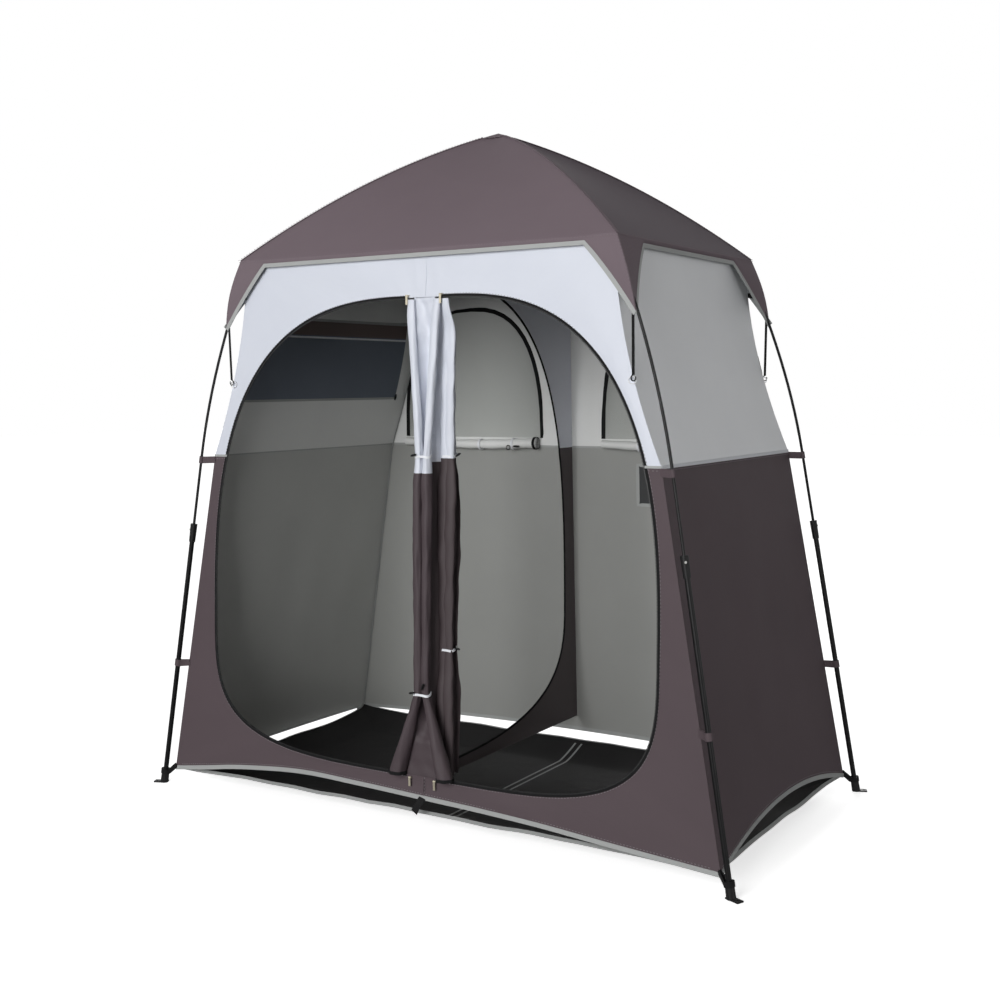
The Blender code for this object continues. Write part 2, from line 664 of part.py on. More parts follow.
def mirrored(points):
    return [(-a, z) for a, z in reversed(points)]


def hem_arc(half, rise, steps=14):
    arc = []
    for i in range(steps + 1):
        a = mix(-1, 1, i / steps)
        arc.append((a * half, HEM_Z + rise * (1 - a * a)))
    return arc


def door_side(sign, low, high, steps=14):
    # One rounded side of the door opening, upwards
    start = STRIP_X + sign * STRIP_WIDTH / 2
    if low >= DOOR_WAIST_Z:
        heights = rising(low, high, steps)
    else:
        below = [mix(DOOR_WAIST_Z, low, h) for h in rising(0, 1, steps)]
        heights = below[::-1] + [high]
    edge = []
    for z in heights:
        x = round_edge(
            z, DOOR_WAIST_Z, DOOR_TOP_Z, DOOR_SILL_Z, abs(start), DOOR_REACH,
            DOOR_TOP_POWER, DOOR_SILL_POWER,
        )
        edge.append((sign * x if x > abs(start) else start, z))
    edge[0 if low < DOOR_WAIST_Z else -1] = (start, low if low < DOOR_WAIST_Z else high)
    return edge


def scallop(panel, names):
    for name in names:
        corner = FRAME[name]
        side = corner.out * 2 * SCALLOP
        ends = corner.elbow - side, corner.elbow + side
        cut(panel, lambda bm, ends=ends: cylinder(bm, *ends, SCALLOP))


def make_front():
    edge = [(body_x(z), z) for z in rising(SEAM_Z, TOP_Z, 8)]
    right = door_side(1, SEAM_Z, DOOR_TOP_Z)
    left = door_side(-1, SEAM_Z, DOOR_TOP_Z)
    outline = mirrored(edge)[::-1] + edge[::-1] + right + left[::-1]
    panel = flat_panel("front_upper_panel", [outline], "front", "upper", UPPER_CLOTH)
    scallop(panel, ("front_left", "front_right"))
    top = SEAM_Z - SEAM_GAP
    right = door_side(1, DOOR_SILL_Z, top)
    left = door_side(-1, DOOR_SILL_Z, top)
    outline = [(-body_x(top), top)] + left[::-1] + right + [(body_x(top), top)]
    outline += hem_arc(HEM_X, FRONT_HEM_RISE)[::-1]
    panel = flat_panel("front_lower_panel", [outline], "front", "lower", LOWER_CLOTH)
    add_loops(panel, ("front_left", "front_right"))


def rear_window(sign, shrink=0.0, steps=10):
    sill = SEAM_Z + REAR_WINDOW_SILL + shrink
    half, top = REAR_WINDOW_HALF - shrink, REAR_WINDOW_TOP - shrink
    edge = []
    for z in rising(sill, top, steps):
        share = (z - sill) / (top - sill)
        edge.append((half * (1 - share**WINDOW_POWER) ** (1 / WINDOW_POWER), z))
    middle = sign * REAR_WINDOW_X
    return [(middle + a, z) for a, z in edge] + [(middle + a, z) for a, z in mirrored(edge)[1:]]


def make_rear():
    edge = [(body_x(z), z) for z in rising(SEAM_Z, TOP_Z, 8)]
    outline = mirrored(edge)[::-1] + edge[::-1]
    holes = [rear_window(-1), rear_window(1)]
    panel = flat_panel("rear_upper_panel", [outline, *holes], "rear", "upper", UPPER_CLOTH)
    scallop(panel, ("rear_left", "rear_right"))
    for name, sign in (("left", 1), ("right", -1)):
        flat_panel(f"rear_window_{name}", [rear_window(sign, GAP)], "rear", "upper", MESH_CLOTH)
    top = SEAM_Z - SEAM_GAP
    outline = [(-body_x(top), top), (body_x(top), top)] + hem_arc(HEM_X, REAR_HEM_RISE)[::-1]
    panel = flat_panel("rear_lower_panel", [outline], "rear", "lower", LOWER_CLOTH)
    add_loops(panel, ("rear_left", "rear_right"))


def make_side(side):
    sign = OUTWARD[side].x
    inner = CLOTH + GAP
    sheet = curved_side(sign, -1, 1, SEAM_Z, TOP_Z, 10)
    panel = add_object(f"{side}_upper_panel", sheet, UPPER_CLOTH)
    thicken(panel, -1)
    scallop(panel, (f"front_{side}", f"rear_{side}"))
    top = SEAM_Z - SEAM_GAP
    half = body_y(top) - inner, HEM_Y - inner
    rise = LEFT_HEM_RISE if side == "left" else RIGHT_HEM_RISE
    outline = [(-half[0], top), (half[0], top)] + hem_arc(half[1], rise)[::-1]
    flat_panel(f"{side}_lower_panel", [outline], side, "lower", LOWER_CLOTH)
    return panel


def curved_side(sign, first, last, low, high, steps, half=None):
    # Part of a side wall above the seam, which follows the hollow corner line
    bm = bmesh.new()
    bmesh.ops.create_grid(bm, x_segments=4, y_segments=steps, size=1)
    for v in bm.verts:
        z = mix(low, high, (v.co.y + 1) / 2)
        width = half or body_y(z) - CLOTH - GAP
        v.co = (sign * body_x(z), mix(first, last, (v.co.x + 1) / 2) * width, z)
    mesh = mesh_from(bm, "side")
    if mesh.polygons[0].normal.x * sign < 0:
        mesh.flip_normals()
    return mesh


def make_side_window(panel):
    size = (SIDE_WINDOW_Y, SIDE_WINDOW_LOW, SIDE_WINDOW_HIGH)
    corner = (-HEM_X, -size[0], size[1]), (0, size[0], size[2])
    cut(panel, lambda bm: box(bm, Matrix(), *corner))
    inset = 2 * GAP
    sheet = curved_side(-1, -1, 1, size[1] + inset, size[2] - inset, 5, size[0] - inset)
    thicken(add_object("left_window", sheet, MESH_CLOTH), -1)


def add_loops(panel, names):
    # Loops round the legs, each with a tail sewn to the panel's corner
    for name in names:
        corner = FRAME[name]
        for z in LOOP_LEVELS:
            pole = TUBE_RADIUS if z < TUBE_TOP_Z else ROD_RADIUS
            add_loop(panel, corner, corner.on_leg(z), pole + LOOP_PLAY)


def add_loop(panel, corner, middle, inner):
    half = corner.leg_up * (LOOP_HEIGHT / 2)
    x, y = body_x(middle.z) - 3 * CLOTH, body_y(middle.z) - CLOTH / 2
    sewn = Vector((corner.sx * x, corner.sy * y, middle.z))
    reach = sewn - middle
    place = axes(middle, reach, corner.leg_up)
    tail = (inner + LOOP_WALL / 2, -LOOP_WALL / 2, -LOOP_HEIGHT / 2)
    sewn_end = (reach.length, LOOP_WALL / 2, LOOP_HEIGHT / 2)
    ring = helper(lambda bm: cylinder(bm, middle - half, middle + half, inner + LOOP_WALL))
    join(ring, lambda bm: box(bm, place, tail, sewn_end))
    cut(ring, lambda bm: cylinder(bm, middle - 2 * half, middle + 2 * half, inner))
    combine(panel, ring, "UNION")


# Doors, rolled to the middle and tied


def bundle(name, mat, high, centre, width, depth):
    # A gathered curtain: folds round a bundle that swells and narrows with the height
    low = DOOR_SILL_Z + OVER_SILL
    rings = []
    rows, around = 22, 5 * DOOR_FOLDS
    for i in range(rows + 1):
        z = mix(low, high, i / rows)
        x, y = centre(z)
        ring = []
        for k in range(around):
            a = 2 * math.pi * k / around
            fold = 1 - FOLD_SHARE * (0.5 + 0.5 * math.cos(DOOR_FOLDS * a + FOLD_TURN * z / DOOR_TOP_Z))
            ring.append((x + width(z) * fold * math.cos(a), y + depth(z) * fold * math.sin(a), z))
        rings.append(ring)
    add_object(name, mesh_from(loft(rings), name), mat)


def profile(*stops):
    # A smooth line through (height, value) stops, from the top down
    def at(z):
        for (z1, a), (z0, b) in zip(stops, stops[1:]):
            if z >= z0:
                t = min(1, max(0, (z1 - z) / (z1 - z0)))
                return mix(a, b, t * t * (3 - 2 * t))
        return stops[-1][1]

    return at


def make_doors():
    # Each front door is rolled to its edge of the middle strip, and the two rolls are tied together
    top, sill = DOOR_TOP_Z, DOOR_SILL_Z
    tie, low_tie = UPPER_TIE_Z, LOWER_TIE_Z
    full, under = tie - FULLEST, top - UNDER_TOP
    levels = top, under, tie, full, low_tie, sill
    width, depth = profile(*zip(levels, ROLL_WIDTHS)), profile(*zip(levels, ROLL_DEPTHS))
    apart = profile(*zip(levels, ROLL_APART))
    for name, sign in (("left_door", -1), ("right_door", 1)):

        def roll_centre(z, sign=sign):
            return STRIP_X + sign * apart(z), CLOTH / 2 - body_y(z)

        bundle(name, DOOR_CLOTH, top - GAP, roll_centre, width, depth)
    # The divider's door hangs behind them
    own_tie = low_tie + CURTAIN_TIE_UP
    levels = top, tie, full, own_tie, own_tie - CURTAIN_BULGE, sill
    width = profile(*zip(levels, CURTAIN_WIDTHS))
    depth = profile(*zip((top, top - 2 * UNDER_TOP, tie), CURTAIN_DEPTHS))
    inside = profile((top, 0.0), *zip((top - 2 * UNDER_TOP, tie), CURTAIN_INSIDE))
    start = STRIP_X + STRIP_WIDTH / 2 + CURTAIN_SHIFT
    along = profile((top, start), (tie, start - CURTAIN_DRAW))

    def curtain_centre(z):
        return along(z), CLOTH / 2 - body_y(z) + inside(z)

    bundle("divider_door", DOOR_CLOTH, top - 4 * GAP, curtain_centre, width, depth)


def make_zip_pulls():
    half = STRIP_WIDTH / 2
    levels = {"top": DOOR_TOP_Z + PULL_BARREL + LAP / 2, "bottom": DOOR_SILL_Z - PULL_BARREL - LAP}
    for level, z in levels.items():
        for side, sign in (("left", -1), ("right", 1)):
            x = STRIP_X + sign * (half if level == "top" else 0.75 * half)
            hinge = Vector((x, -body_y(z) - PULL_BARREL - 2 * GAP, z))
            bm = bmesh.new()
            across = Vector((PULL_WIDTH / 2 + LAP / 4, 0, 0))
            cylinder(bm, hinge - across, hinge + across, PULL_BARREL, sides=12)
            pull = add_object(f"zip_pull_{level}_{side}", mesh_from(bm, "pull"), BRASS, hinge)
            low = (-PULL_WIDTH / 2, -PULL_BARREL, -PULL_LENGTH)
            high = (PULL_WIDTH / 2, -PULL_BARREL + PULL_THICK, 0)
            join(pull, lambda bm, p=Matrix.Translation(hinge), a=low, b=high: box(bm, p, a, b))


# Divider


def way_edge(low, high, steps=12):
    # The rounded rear edge of the way between the rooms, upwards
    if low >= WAY_WAIST_Z:
        heights = rising(low, high, steps)
    else:
        heights = [mix(WAY_WAIST_Z, low, h) for h in rising(0, 1, steps)][::-1] + [high]
    start = way_start(low)
    edge = []
    for z in heights:
        y = round_edge(
            z, WAY_WAIST_Z, WAY_TOP_Z, WAY_SILL_Z, start, WAY_BACK_Y, WAY_POWER, WAY_POWER
        )
        edge.append((y, z))
    return edge


def way_start(z):
    return -(HEM_Y - DIVIDER_FRONT - WAY_FRONT) if z < SEAM_Z else -(SEAM_Y - DIVIDER_FRONT - WAY_FRONT)


def divider_sheet(name, outline, mat):
    curve = bpy.data.curves.new(name, "CURVE")
    curve.dimensions = "2D"
    curve.fill_mode = "BOTH"
    curve.extrude = CLOTH / 2
    spline = curve.splines.new("POLY")
    spline.points.add(len(outline) - 1)
    spline.use_cyclic_u = True
    for point, (y, z) in zip(spline.points, outline):
        point.co = (y, z, 0, 1)
    sheet = add_object(name, curve, mat)
    sheet.matrix_world = axes((0, 0, 0), (0, 1, 0), (1, 0, 0))


def make_divider():
    def back(z):
        return body_y(z) - CLOTH - 2 * GAP

    front = -(SEAM_Y - DIVIDER_FRONT)
    way = way_edge(SEAM_Z, WAY_TOP_Z)
    outline = [(front, SEAM_Z), (way_start(SEAM_Z), SEAM_Z), (way[-1][0], WAY_TOP_Z)]
    outline += way[-2::-1]
    outline += [(back(SEAM_Z), SEAM_Z), (back(DIVIDER_TOP_Z), DIVIDER_TOP_Z), (front, DIVIDER_TOP_Z)]
    divider_sheet("divider_upper", outline, UPPER_CLOTH)
    top = SEAM_Z - GAP
    low_front = -(HEM_Y - DIVIDER_FRONT)
    way = way_edge(WAY_SILL_Z, top)
    outline = [(front, top), (low_front, DIVIDER_HEM_Z)]
    outline += [(back(DIVIDER_HEM_Z), DIVIDER_HEM_Z), (back(top), top)]
    outline += way[::-1] + [(way_start(SEAM_Z), top)]
    divider_sheet("divider_lower", outline, LOWER_CLOTH)


# Inside fittings


def make_window_rolls():
    for name, sign in (("left", -1), ("right", 1)):
        z = SEAM_Z + REAR_WINDOW_SILL - ROLL_RADIUS
        inside = Vector((0, body_y(z) - CLOTH - ROLL_RADIUS - 2 * GAP, z))
        middle = inside + Vector((sign * REAR_WINDOW_X, 0, 0))
        half = REAR_WINDOW_HALF * 0.98
        rings = []
        for i in range(13):
            a = mix(-1, 1, i / 12)
            radius = ROLL_RADIUS * (0.86 + 0.14 * math.cos(3 * math.pi * a) ** 2)
            ring = []
            for k in range(14):
                t = 2 * math.pi * k / 14
                ring.append(middle + Vector((a * half, radius * math.cos(t), radius * math.sin(t))))
            rings.append(ring)
        add_object(f"window_roll_{name}", mesh_from(loft(rings), "roll"), UPPER_CLOTH)


def make_pocket():
    low, high = -POCKET_X - POCKET_WIDTH / 2, -POCKET_X + POCKET_WIDTH / 2
    top = SEAM_Z - POCKET_UNDER_SEAM
    foot = top - POCKET_HEIGHT
    outline = [(low, foot), (high, foot), (high, top), (low, top)]
    flat_panel("mesh_pocket", [outline], "rear", "lower", MESH_CLOTH, inset=CLOTH + GAP)


def make_mat():
    # A shallow tray whose corners are drawn up and out to the corners of the tent body
    corner_z = HEM_Z + 2 * CLOTH
    reach_x = body_x(corner_z) - CLOTH - 2 * GAP
    reach_y = body_y(corner_z) - CLOTH - 2 * GAP
    bm = bmesh.new()
    bmesh.ops.create_grid(bm, x_segments=24, y_segments=14, size=1)
    for v in bm.verts:
        u, w = v.co.x, v.co.y
        x = u * (reach_x - MAT_INSET * (1 - w**MAT_POINT))
        y = w * (reach_y - MAT_INSET * (1 - u**MAT_POINT))
        edge = min((1 - abs(u)) * reach_x, (1 - abs(w)) * reach_y)
        rim = max(0, 1 - edge / MAT_RIM_WIDTH) ** 2
        v.co = (x, y, mix(MAT_RIM, corner_z - MAT_CLOTH, (u * w) ** MAT_POINT) * rim)
    mat = add_object("floor_mat", mesh_from(bm, "mat"), MAT_SHEET)
    if mat.data.polygons[0].normal.z < 0:
        mat.data.flip_normals()
    thicken(mat, 1, MAT_CLOTH)


def make_front_tab():
    # A webbing tab that hangs from the middle of the front hem
    z = HEM_Z + FRONT_HEM_RISE * (1 - (STRIP_X / HEM_X) ** 2) - 3 * GAP
    top = Vector((STRIP_X, -body_y(z) + CLOTH / 2, z))
    end = top - Vector((0, TAB_STRAP_OUT, TAB_STRAP_DROP))
    place = axes(top, (0, -1, 0), end - top)
    half = TAB_STRAP_WIDTH / 2
    bm = bmesh.new()
    box(bm, place, (-CLOTH / 2, -half, 0), (CLOTH / 2, half, (end - top).length))
    add_object("front_tab", mesh_from(bm, "tab"), WEBBING)


clear_scene()
PARTS = new_collection("privacy_shower_tent")
HELPERS = new_collection("cutters")
CANOPY_CLOTH = material("canopy_cloth", (0.16, 0.13, 0.14), 0.7)
UPPER_CLOTH = material("upper_cloth", (0.62, 0.64, 0.68), 0.55)
LOWER_CLOTH = material("lower_cloth", (0.13, 0.10, 0.11), 0.7)
DOOR_CLOTH = material("door_cloth", (0.35, 0.33, 0.35), 0.6)
MESH_CLOTH = material("window_mesh", (0.02, 0.025, 0.03), 0.8)
MAT_SHEET = material("mat_sheet", (0.012, 0.012, 0.013), 0.6)
WEBBING = material("webbing", (0.01, 0.01, 0.01), 0.8)
PLASTIC = material("black_plastic", (0.012, 0.012, 0.013), 0.45)
FIBREGLASS = material("fibreglass_rod", (0.015, 0.015, 0.016), 0.35)
STEEL_BLACK = material("coated_steel", (0.014, 0.014, 0.015), 0.4)
STEEL = material("plated_steel", (0.6, 0.6, 0.58), 0.3, 1.0)
BRASS = material("zip_brass", (0.7, 0.6, 0.4), 0.35, 1.0)

FRAME = {name: Corner(*signs) for name, signs in CORNERS.items()}
make_hub()
for corner_name, frame_corner in FRAME.items():
    make_roof_pole(corner_name, frame_corner)
    make_elbow(corner_name, frame_corner)
    make_leg(corner_name, frame_corner)
    make_foot(corner_name, frame_corner)
make_canopy()
make_front()
make_rear()
left_panel = make_side("left")
make_side("right")
make_side_window(left_panel)
make_doors()
make_zip_pulls()
make_divider()
make_window_rolls()
make_pocket()
make_mat()
make_front_tab()
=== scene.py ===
import json
from math import atan2, copysign, cos, exp, pi, radians, sin, sqrt

import bmesh
import bpy
from mathutils import Matrix, Vector, noise


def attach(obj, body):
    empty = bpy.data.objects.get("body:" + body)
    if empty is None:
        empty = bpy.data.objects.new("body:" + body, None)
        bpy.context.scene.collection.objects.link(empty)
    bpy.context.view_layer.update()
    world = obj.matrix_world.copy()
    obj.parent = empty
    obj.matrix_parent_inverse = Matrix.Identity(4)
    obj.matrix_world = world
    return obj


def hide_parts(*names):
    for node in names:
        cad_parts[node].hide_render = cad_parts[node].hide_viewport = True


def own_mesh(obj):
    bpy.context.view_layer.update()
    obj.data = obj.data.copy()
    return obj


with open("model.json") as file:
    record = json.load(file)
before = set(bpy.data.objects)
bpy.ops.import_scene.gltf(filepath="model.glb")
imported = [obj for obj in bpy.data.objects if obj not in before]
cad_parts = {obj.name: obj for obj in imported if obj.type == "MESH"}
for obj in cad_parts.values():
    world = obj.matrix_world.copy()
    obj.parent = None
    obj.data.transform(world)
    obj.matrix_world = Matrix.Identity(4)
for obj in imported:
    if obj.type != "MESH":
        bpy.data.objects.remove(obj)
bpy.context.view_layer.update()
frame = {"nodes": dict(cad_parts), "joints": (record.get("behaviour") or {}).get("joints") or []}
scene = bpy.context.scene
scene.view_settings.view_transform = "Standard"
up = Vector((0, 0, 1))
print("frame loaded")

# Camera, at the photograph's angle
cameraView = {
    "azimuth": 31.8544, "elevation": 4.8649, "roll": -0.487,
    "distance": 4.3931, "target": (-0.0057, 0, 0.9649), "lens": 47.908, "sensor": 36,
}


def makeCamera():
    turn, lift, roll = (radians(cameraView[key]) for key in ("azimuth", "elevation", "roll"))
    back = Vector((sin(turn) * cos(lift), -cos(turn) * cos(lift), sin(lift)))
    right = Vector((cos(turn), sin(turn), 0))
    above = back.cross(right)
    across = right * cos(roll) + above * sin(roll)
    upright = above * cos(roll) - right * sin(roll)
    data = bpy.data.cameras.new("camera")
    data.lens, data.sensor_width = cameraView["lens"], cameraView["sensor"]
    camera = bpy.data.objects.new("camera", data)
    scene.collection.objects.link(camera)
    facing = Matrix((across, upright, back)).transposed().to_4x4()
    place = Vector(cameraView["target"]) + back * cameraView["distance"]
    camera.matrix_world = Matrix.Translation(place) @ facing
    scene.camera = camera


makeCamera()

# Materials


def hexColour(text):
    parts = [int(text[i:i + 2], 16) / 255 for i in (1, 3, 5)]
    return (*[c / 12.92 if c <= 0.04045 else ((c + 0.055) / 1.055) ** 2.4 for c in parts], 1)


def addNode(tree, kind, settings=None, inputs=None):
    node = tree.nodes.new(kind)
    for key, value in (settings or {}).items():
        setattr(node, key, value)
    for key, value in (inputs or {}).items():
        if isinstance(value, bpy.types.NodeSocket):
            tree.links.new(value, node.inputs[key])
        else:
            node.inputs[key].default_value = value
    return node


def makeMaterial(name, colour, roughness, values=None):
    made = bpy.data.materials.new(name)
    made.use_nodes = True
    shader = made.node_tree.nodes["Principled BSDF"]
    shader.inputs["Base Color"].default_value = hexColour(colour)
    shader.inputs["Roughness"].default_value = roughness
    for key, value in (values or {}).items():
        shader.inputs[key].default_value = value
    return made, made.node_tree, shader.inputs


def crossThreads(tree, thread, distortion, operation):
    # Threads both ways on the cloth's own map; a wave's bands lie pi / 10 over its scale apart
    place = addNode(tree, "ShaderNodeUVMap", {"uv_map": "cloth"}).outputs["UV"]
    waves = [addNode(tree, "ShaderNodeTexWave", {"bands_direction": direction}, {
        "Vector": place, "Scale": pi / 10 / thread, "Distortion": distortion, "Detail": 1.0})
        for direction in ("X", "Y")]
    both = addNode(tree, "ShaderNodeMath", {"operation": operation}, {
        0: waves[0].outputs["Fac"], 1: waves[1].outputs["Fac"]})
    return place, both.outputs["Value"]


def colourBetween(tree, share, first, second, socket):
    blend = addNode(tree, "ShaderNodeMix", {"data_type": "RGBA"}, {
        0: share, 6: hexColour(first), 7: hexColour(second)})
    tree.links.new(blend.outputs[2], socket)


def makeCloth(name, colour, deep, roughness, thread, relief, crease, sheen=0.5):
    made, tree, inputs = makeMaterial(name, colour, roughness, {"Specular IOR Level": sheen})
    place, woven = crossThreads(tree, thread, 0.5, "MULTIPLY")
    # Slow change of tone over some 30 cm, as on cloth that has been folded away
    tone = addNode(tree, "ShaderNodeTexNoise", {}, {
        "Vector": place, "Scale": 3.0, "Detail": 4.0, "Roughness": 0.6})
    colourBetween(tree, tone.outputs["Fac"], colour, deep, inputs["Base Color"])
    # Soft creases some 8 cm apart under the weave
    creases = addNode(tree, "ShaderNodeTexNoise", {}, {
        "Vector": place, "Scale": 12.0, "Detail": 3.0, "Roughness": 0.5, "Distortion": 0.6})
    low = addNode(tree, "ShaderNodeBump", {}, {
        "Height": creases.outputs["Fac"], "Strength": crease, "Distance": 0.008})
    fine = addNode(tree, "ShaderNodeBump", {}, {
        "Height": woven, "Strength": relief, "Distance": 0.0003, "Normal": low.outputs["Normal"]})
    tree.links.new(fine.outputs["Normal"], inputs["Normal"])
    return made


def makeSolid(name, colour, deep, roughness, grain, relief, sheen=0.5, metal=0.0):
    # Plastic, metal or cord: fine unevenness of the given grain, and handling marks that dull it in patches
    values = {"Specular IOR Level": sheen, "Metallic": metal}
    made, tree, inputs = makeMaterial(name, colour, roughness, values)
    place = addNode(tree, "ShaderNodeTexCoord").outputs["Object"]
    fine = addNode(tree, "ShaderNodeTexNoise", {}, {"Vector": place, "Scale": 1 / grain, "Detail": 2.0})
    wear = addNode(tree, "ShaderNodeTexNoise", {}, {
        "Vector": place, "Scale": 25.0, "Detail": 5.0, "Roughness": 0.7})
    colourBetween(tree, wear.outputs["Fac"], colour, deep, inputs["Base Color"])
    dull = addNode(tree, "ShaderNodeMapRange", {}, {
        "Value": wear.outputs["Fac"], "From Min": 0.3, "From Max": 0.7,
        "To Min": roughness - 0.08, "To Max": roughness + 0.08})
    tree.links.new(dull.outputs["Result"], inputs["Roughness"])
    bump = addNode(tree, "ShaderNodeBump", {}, {
        "Height": fine.outputs["Fac"], "Strength": relief, "Distance": 0.0004})
    tree.links.new(bump.outputs["Normal"], inputs["Normal"])
    return made


# Threads are drawn 1.6 mm apart, some four times as coarse as real ones, so that they hold in a picture
weave = 0.0016
# Name, colour, deeper colour, roughness, threads apart, their relief, creases, and sheen where it is low
cloths = {
    # coated polyester, dull taupe with a soft sheen
    "canopy": ("canopyPolyester", "#74686e", "#6b5f65", 0.7, weave, 0.3, 0.10, 0.15),
    # the same canopy cloth made darker for the left and right faces: painted shade where less light falls on
    # them
    "canopyPaintedShade": ("canopyPaintedShadePolyester", "#5a5157", "#52494f", 0.7, weave, 0.3, 0.10, 0.15),
    "taupe": ("taupePolyester", "#584d51", "#4f4549", 0.7, weave, 0.3, 0.12, 0.2),
    # silver-white polyester, a little glossy
    "silver": ("silverPolyester", "#d3d7e0", "#c6cad5", 0.46, weave, 0.25, 0.14),
    # the same silver cloth made lighter for the right wall: painted light on the side that faces away from
    # the lamps
    "silverPaintedLight": ("silverPaintedLightPolyester", "#eef0f2", "#e3e5e8", 0.46, weave, 0.25, 0.12),
    # silvered inside of the walls, grey and smooth
    "coating": ("silverCoating", "#dfe0de", "#d5d6d5", 0.40, weave, 0.2, 0.08),
    "lowCoating": ("greyCoating", "#b8b9b6", "#acadab", 0.42, weave, 0.2, 0.08),
    # the lower walls' grey lining made darker for the rear wall: painted shade
    "rearCoatingPaintedShade": ("rearCoatingPaintedShade", "#979895", "#8d8e8b", 0.42, weave, 0.2, 0.08),
    # silvered inside of the canopy and of the front wall's foot, warmer
    "taupeCoating": ("taupeCoating", "#a9a6a6", "#9f9c9d", 0.45, weave, 0.2, 0.08),
    # thinner cloth of the doors and the divider, blue-grey above and dark below
    "dividerPale": ("dividerPolyester", "#e4e6f0", "#d9dbe6", 0.5, weave, 0.25, 0.08),
    "doorTaupe": ("doorTaupe", "#493f43", "#41383b", 0.62, weave, 0.25, 0.14, 0.3),
    # the door cloth made darker for the divider's gathered door: painted shade where it hangs back inside the
    # tent
    "curtainTaupePaintedShade": ("curtainTaupePaintedShade", "#463d3f", "#3e3638", 0.62, weave, 0.25, 0.12, 0.3),
    "dividerDark": ("dividerTaupe", "#5d5557", "#544c4e", 0.62, weave, 0.25, 0.08),
    # woven sheet of the floor, near black and matt
    "mat": ("matSheet", "#282728", "#201f20", 0.65, 0.003, 0.5, 0.2, 0.2),
    # edge binding, a grey ribbed tape, and a white one
    "binding": ("bindingTape", "#a4a6a5", "#989a99", 0.6, weave, 0.5, 0.0),
    "whiteTape": ("whiteTape", "#e4e6ea", "#d9dbe0", 0.55, weave, 0.4, 0.0),
    # nylon webbing and zip tape, black and matt
    "webbing": ("blackWebbing", "#141415", "#0f0f10", 0.8, 0.002, 0.8, 0.0, 0.2),
    # dark window cloth of the left wall with its brown band, and the pocket's darker net
    "windowDark": ("windowNet", "#69717e", "#606875", 0.7, 0.0024, 0.8, 0.0),
    "pocketNet": ("pocketNet", "#3a3b3c", "#333435", 0.75, 0.003, 0.9, 0.0),
    "brownBand": ("brownBand", "#675856", "#5f504e", 0.7, weave, 0.3, 0.0),
}
# Name, colour, deeper colour, roughness, grain, its relief, sheen and metal
solids = {
    # moulded nylon, black with a fine grain
    "plastic": ("blackNylon", "#0e0e0f", "#151516", 0.5, 0.0012, 0.25, 0.25),
    # fibreglass rod, black and slightly waxy
    "rod": ("blackFibreglass", "#0c0c0d", "#121213", 0.48, 0.002, 0.1, 0.2),
    # powder-coated steel tube, black with an orange-peel skin
    "steel": ("blackCoatedSteel", "#0b0b0c", "#111112", 0.42, 0.0015, 0.2, 0.22),
    # zinc-plated pins and buttons, bright with a brushed skin
    "plated": ("platedSteel", "#c9c9c6", "#b4b4b0", 0.32, 0.0008, 0.2, 0.5, 1.0),
    # zip pulls, pale brass rubbed brighter in places
    "brass": ("zipBrass", "#cdc6b2", "#b8b09a", 0.38, 0.0008, 0.2, 0.5, 0.6),
    # white braided cord and grey sewing thread, both matt with a twist that shows as fine grain
    "cord": ("whiteCord", "#e9eaec", "#dadbde", 0.7, 0.0012, 0.6),
    "thread": ("greyThread", "#8d888b", "#7d787b", 0.75, 0.0006, 0.6, 0.2),
    "canopyThread": ("canopyThread", "#7d7277", "#72676c", 0.75, 0.0006, 0.6, 0.2),
    # corner piping, a grey cord under its own cloth
    "piping": ("greyPiping", "#8f9190", "#848685", 0.6, 0.0012, 0.4),
    # zip teeth, black nylon coil
    "teeth": ("zipCoil", "#202021", "#2a2a2b", 0.45, 0.001, 0.2),
}


def makeNet():
    # Grey insect net: most of the light passes, the threads catch the rest; drawn 3 mm apart, twice as coarse
    made, tree, inputs = makeMaterial("greyNet", "#a3a6a2", 0.7)
    solid = crossThreads(tree, 0.003, 0.0, "MAXIMUM")[1]
    share = addNode(tree, "ShaderNodeMapRange", {}, {
        "Value": solid, "From Min": 0.3, "From Max": 0.9, "To Min": 0.55, "To Max": 1.0})
    tree.links.new(share.outputs["Result"], inputs["Alpha"])
    return made


finish = {key: makeCloth(*look) for key, look in cloths.items()}
finish.update({key: makeSolid(*look) for key, look in solids.items()})
finish["net"] = makeNet()
print("materials made")

# Tent lines in metres: feet, hem, colour seam, top of the body and of its cut corners, the eave and the peak
footX, footY = 1.031, 0.5414
hemX, hemY, hemZ = 0.9935, 0.523, 0.051
seamX, seamY, seamZ = 0.805, 0.490, 1.120
topX, topY, topZ = 0.660, 0.475, 1.736
cutX, cutY, cutZ = 0.618, 0.438, 1.700  # from cutZ up the walls' corners are cut off, round the elbows
eaveX, eaveY, eaveZ = 0.673, 0.488, 1.746
peakZ, hipBow, valance = 2.150, 0.045, 0.016
cornerCurve = 1.8
tuck = 0.0012  # the side walls end this far inside the front and rear ones
sewn = 0.0004  # stitches stand this far off the cloth
corners = {"front_left": (-1, -1), "front_right": (1, -1), "rear_left": (-1, 1), "rear_right": (1, 1)}
sides = ((-1, "Left"), (1, "Right"))
walls = {
    "front": Vector((0, -1, 0)), "rear": Vector((0, 1, 0)),
    "left": Vector((-1, 0, 0)), "right": Vector((1, 0, 0)),
}
joints = {joint["name"]: joint for joint in frame["joints"]}
elbows = {name: Vector(joints["elbow_swing_" + name]["pos_m"]) for name in corners}
hubPins = {name: Vector(joints["roof_pole_swing_" + name]["pos_m"]) for name in corners}


def mix(a, b, t):
    return a + (b - a) * t


def steps(a, b, count):
    return [mix(a, b, i / count) for i in range(count + 1)]


def circle(count):
    return [2 * pi * k / count for k in range(count)]


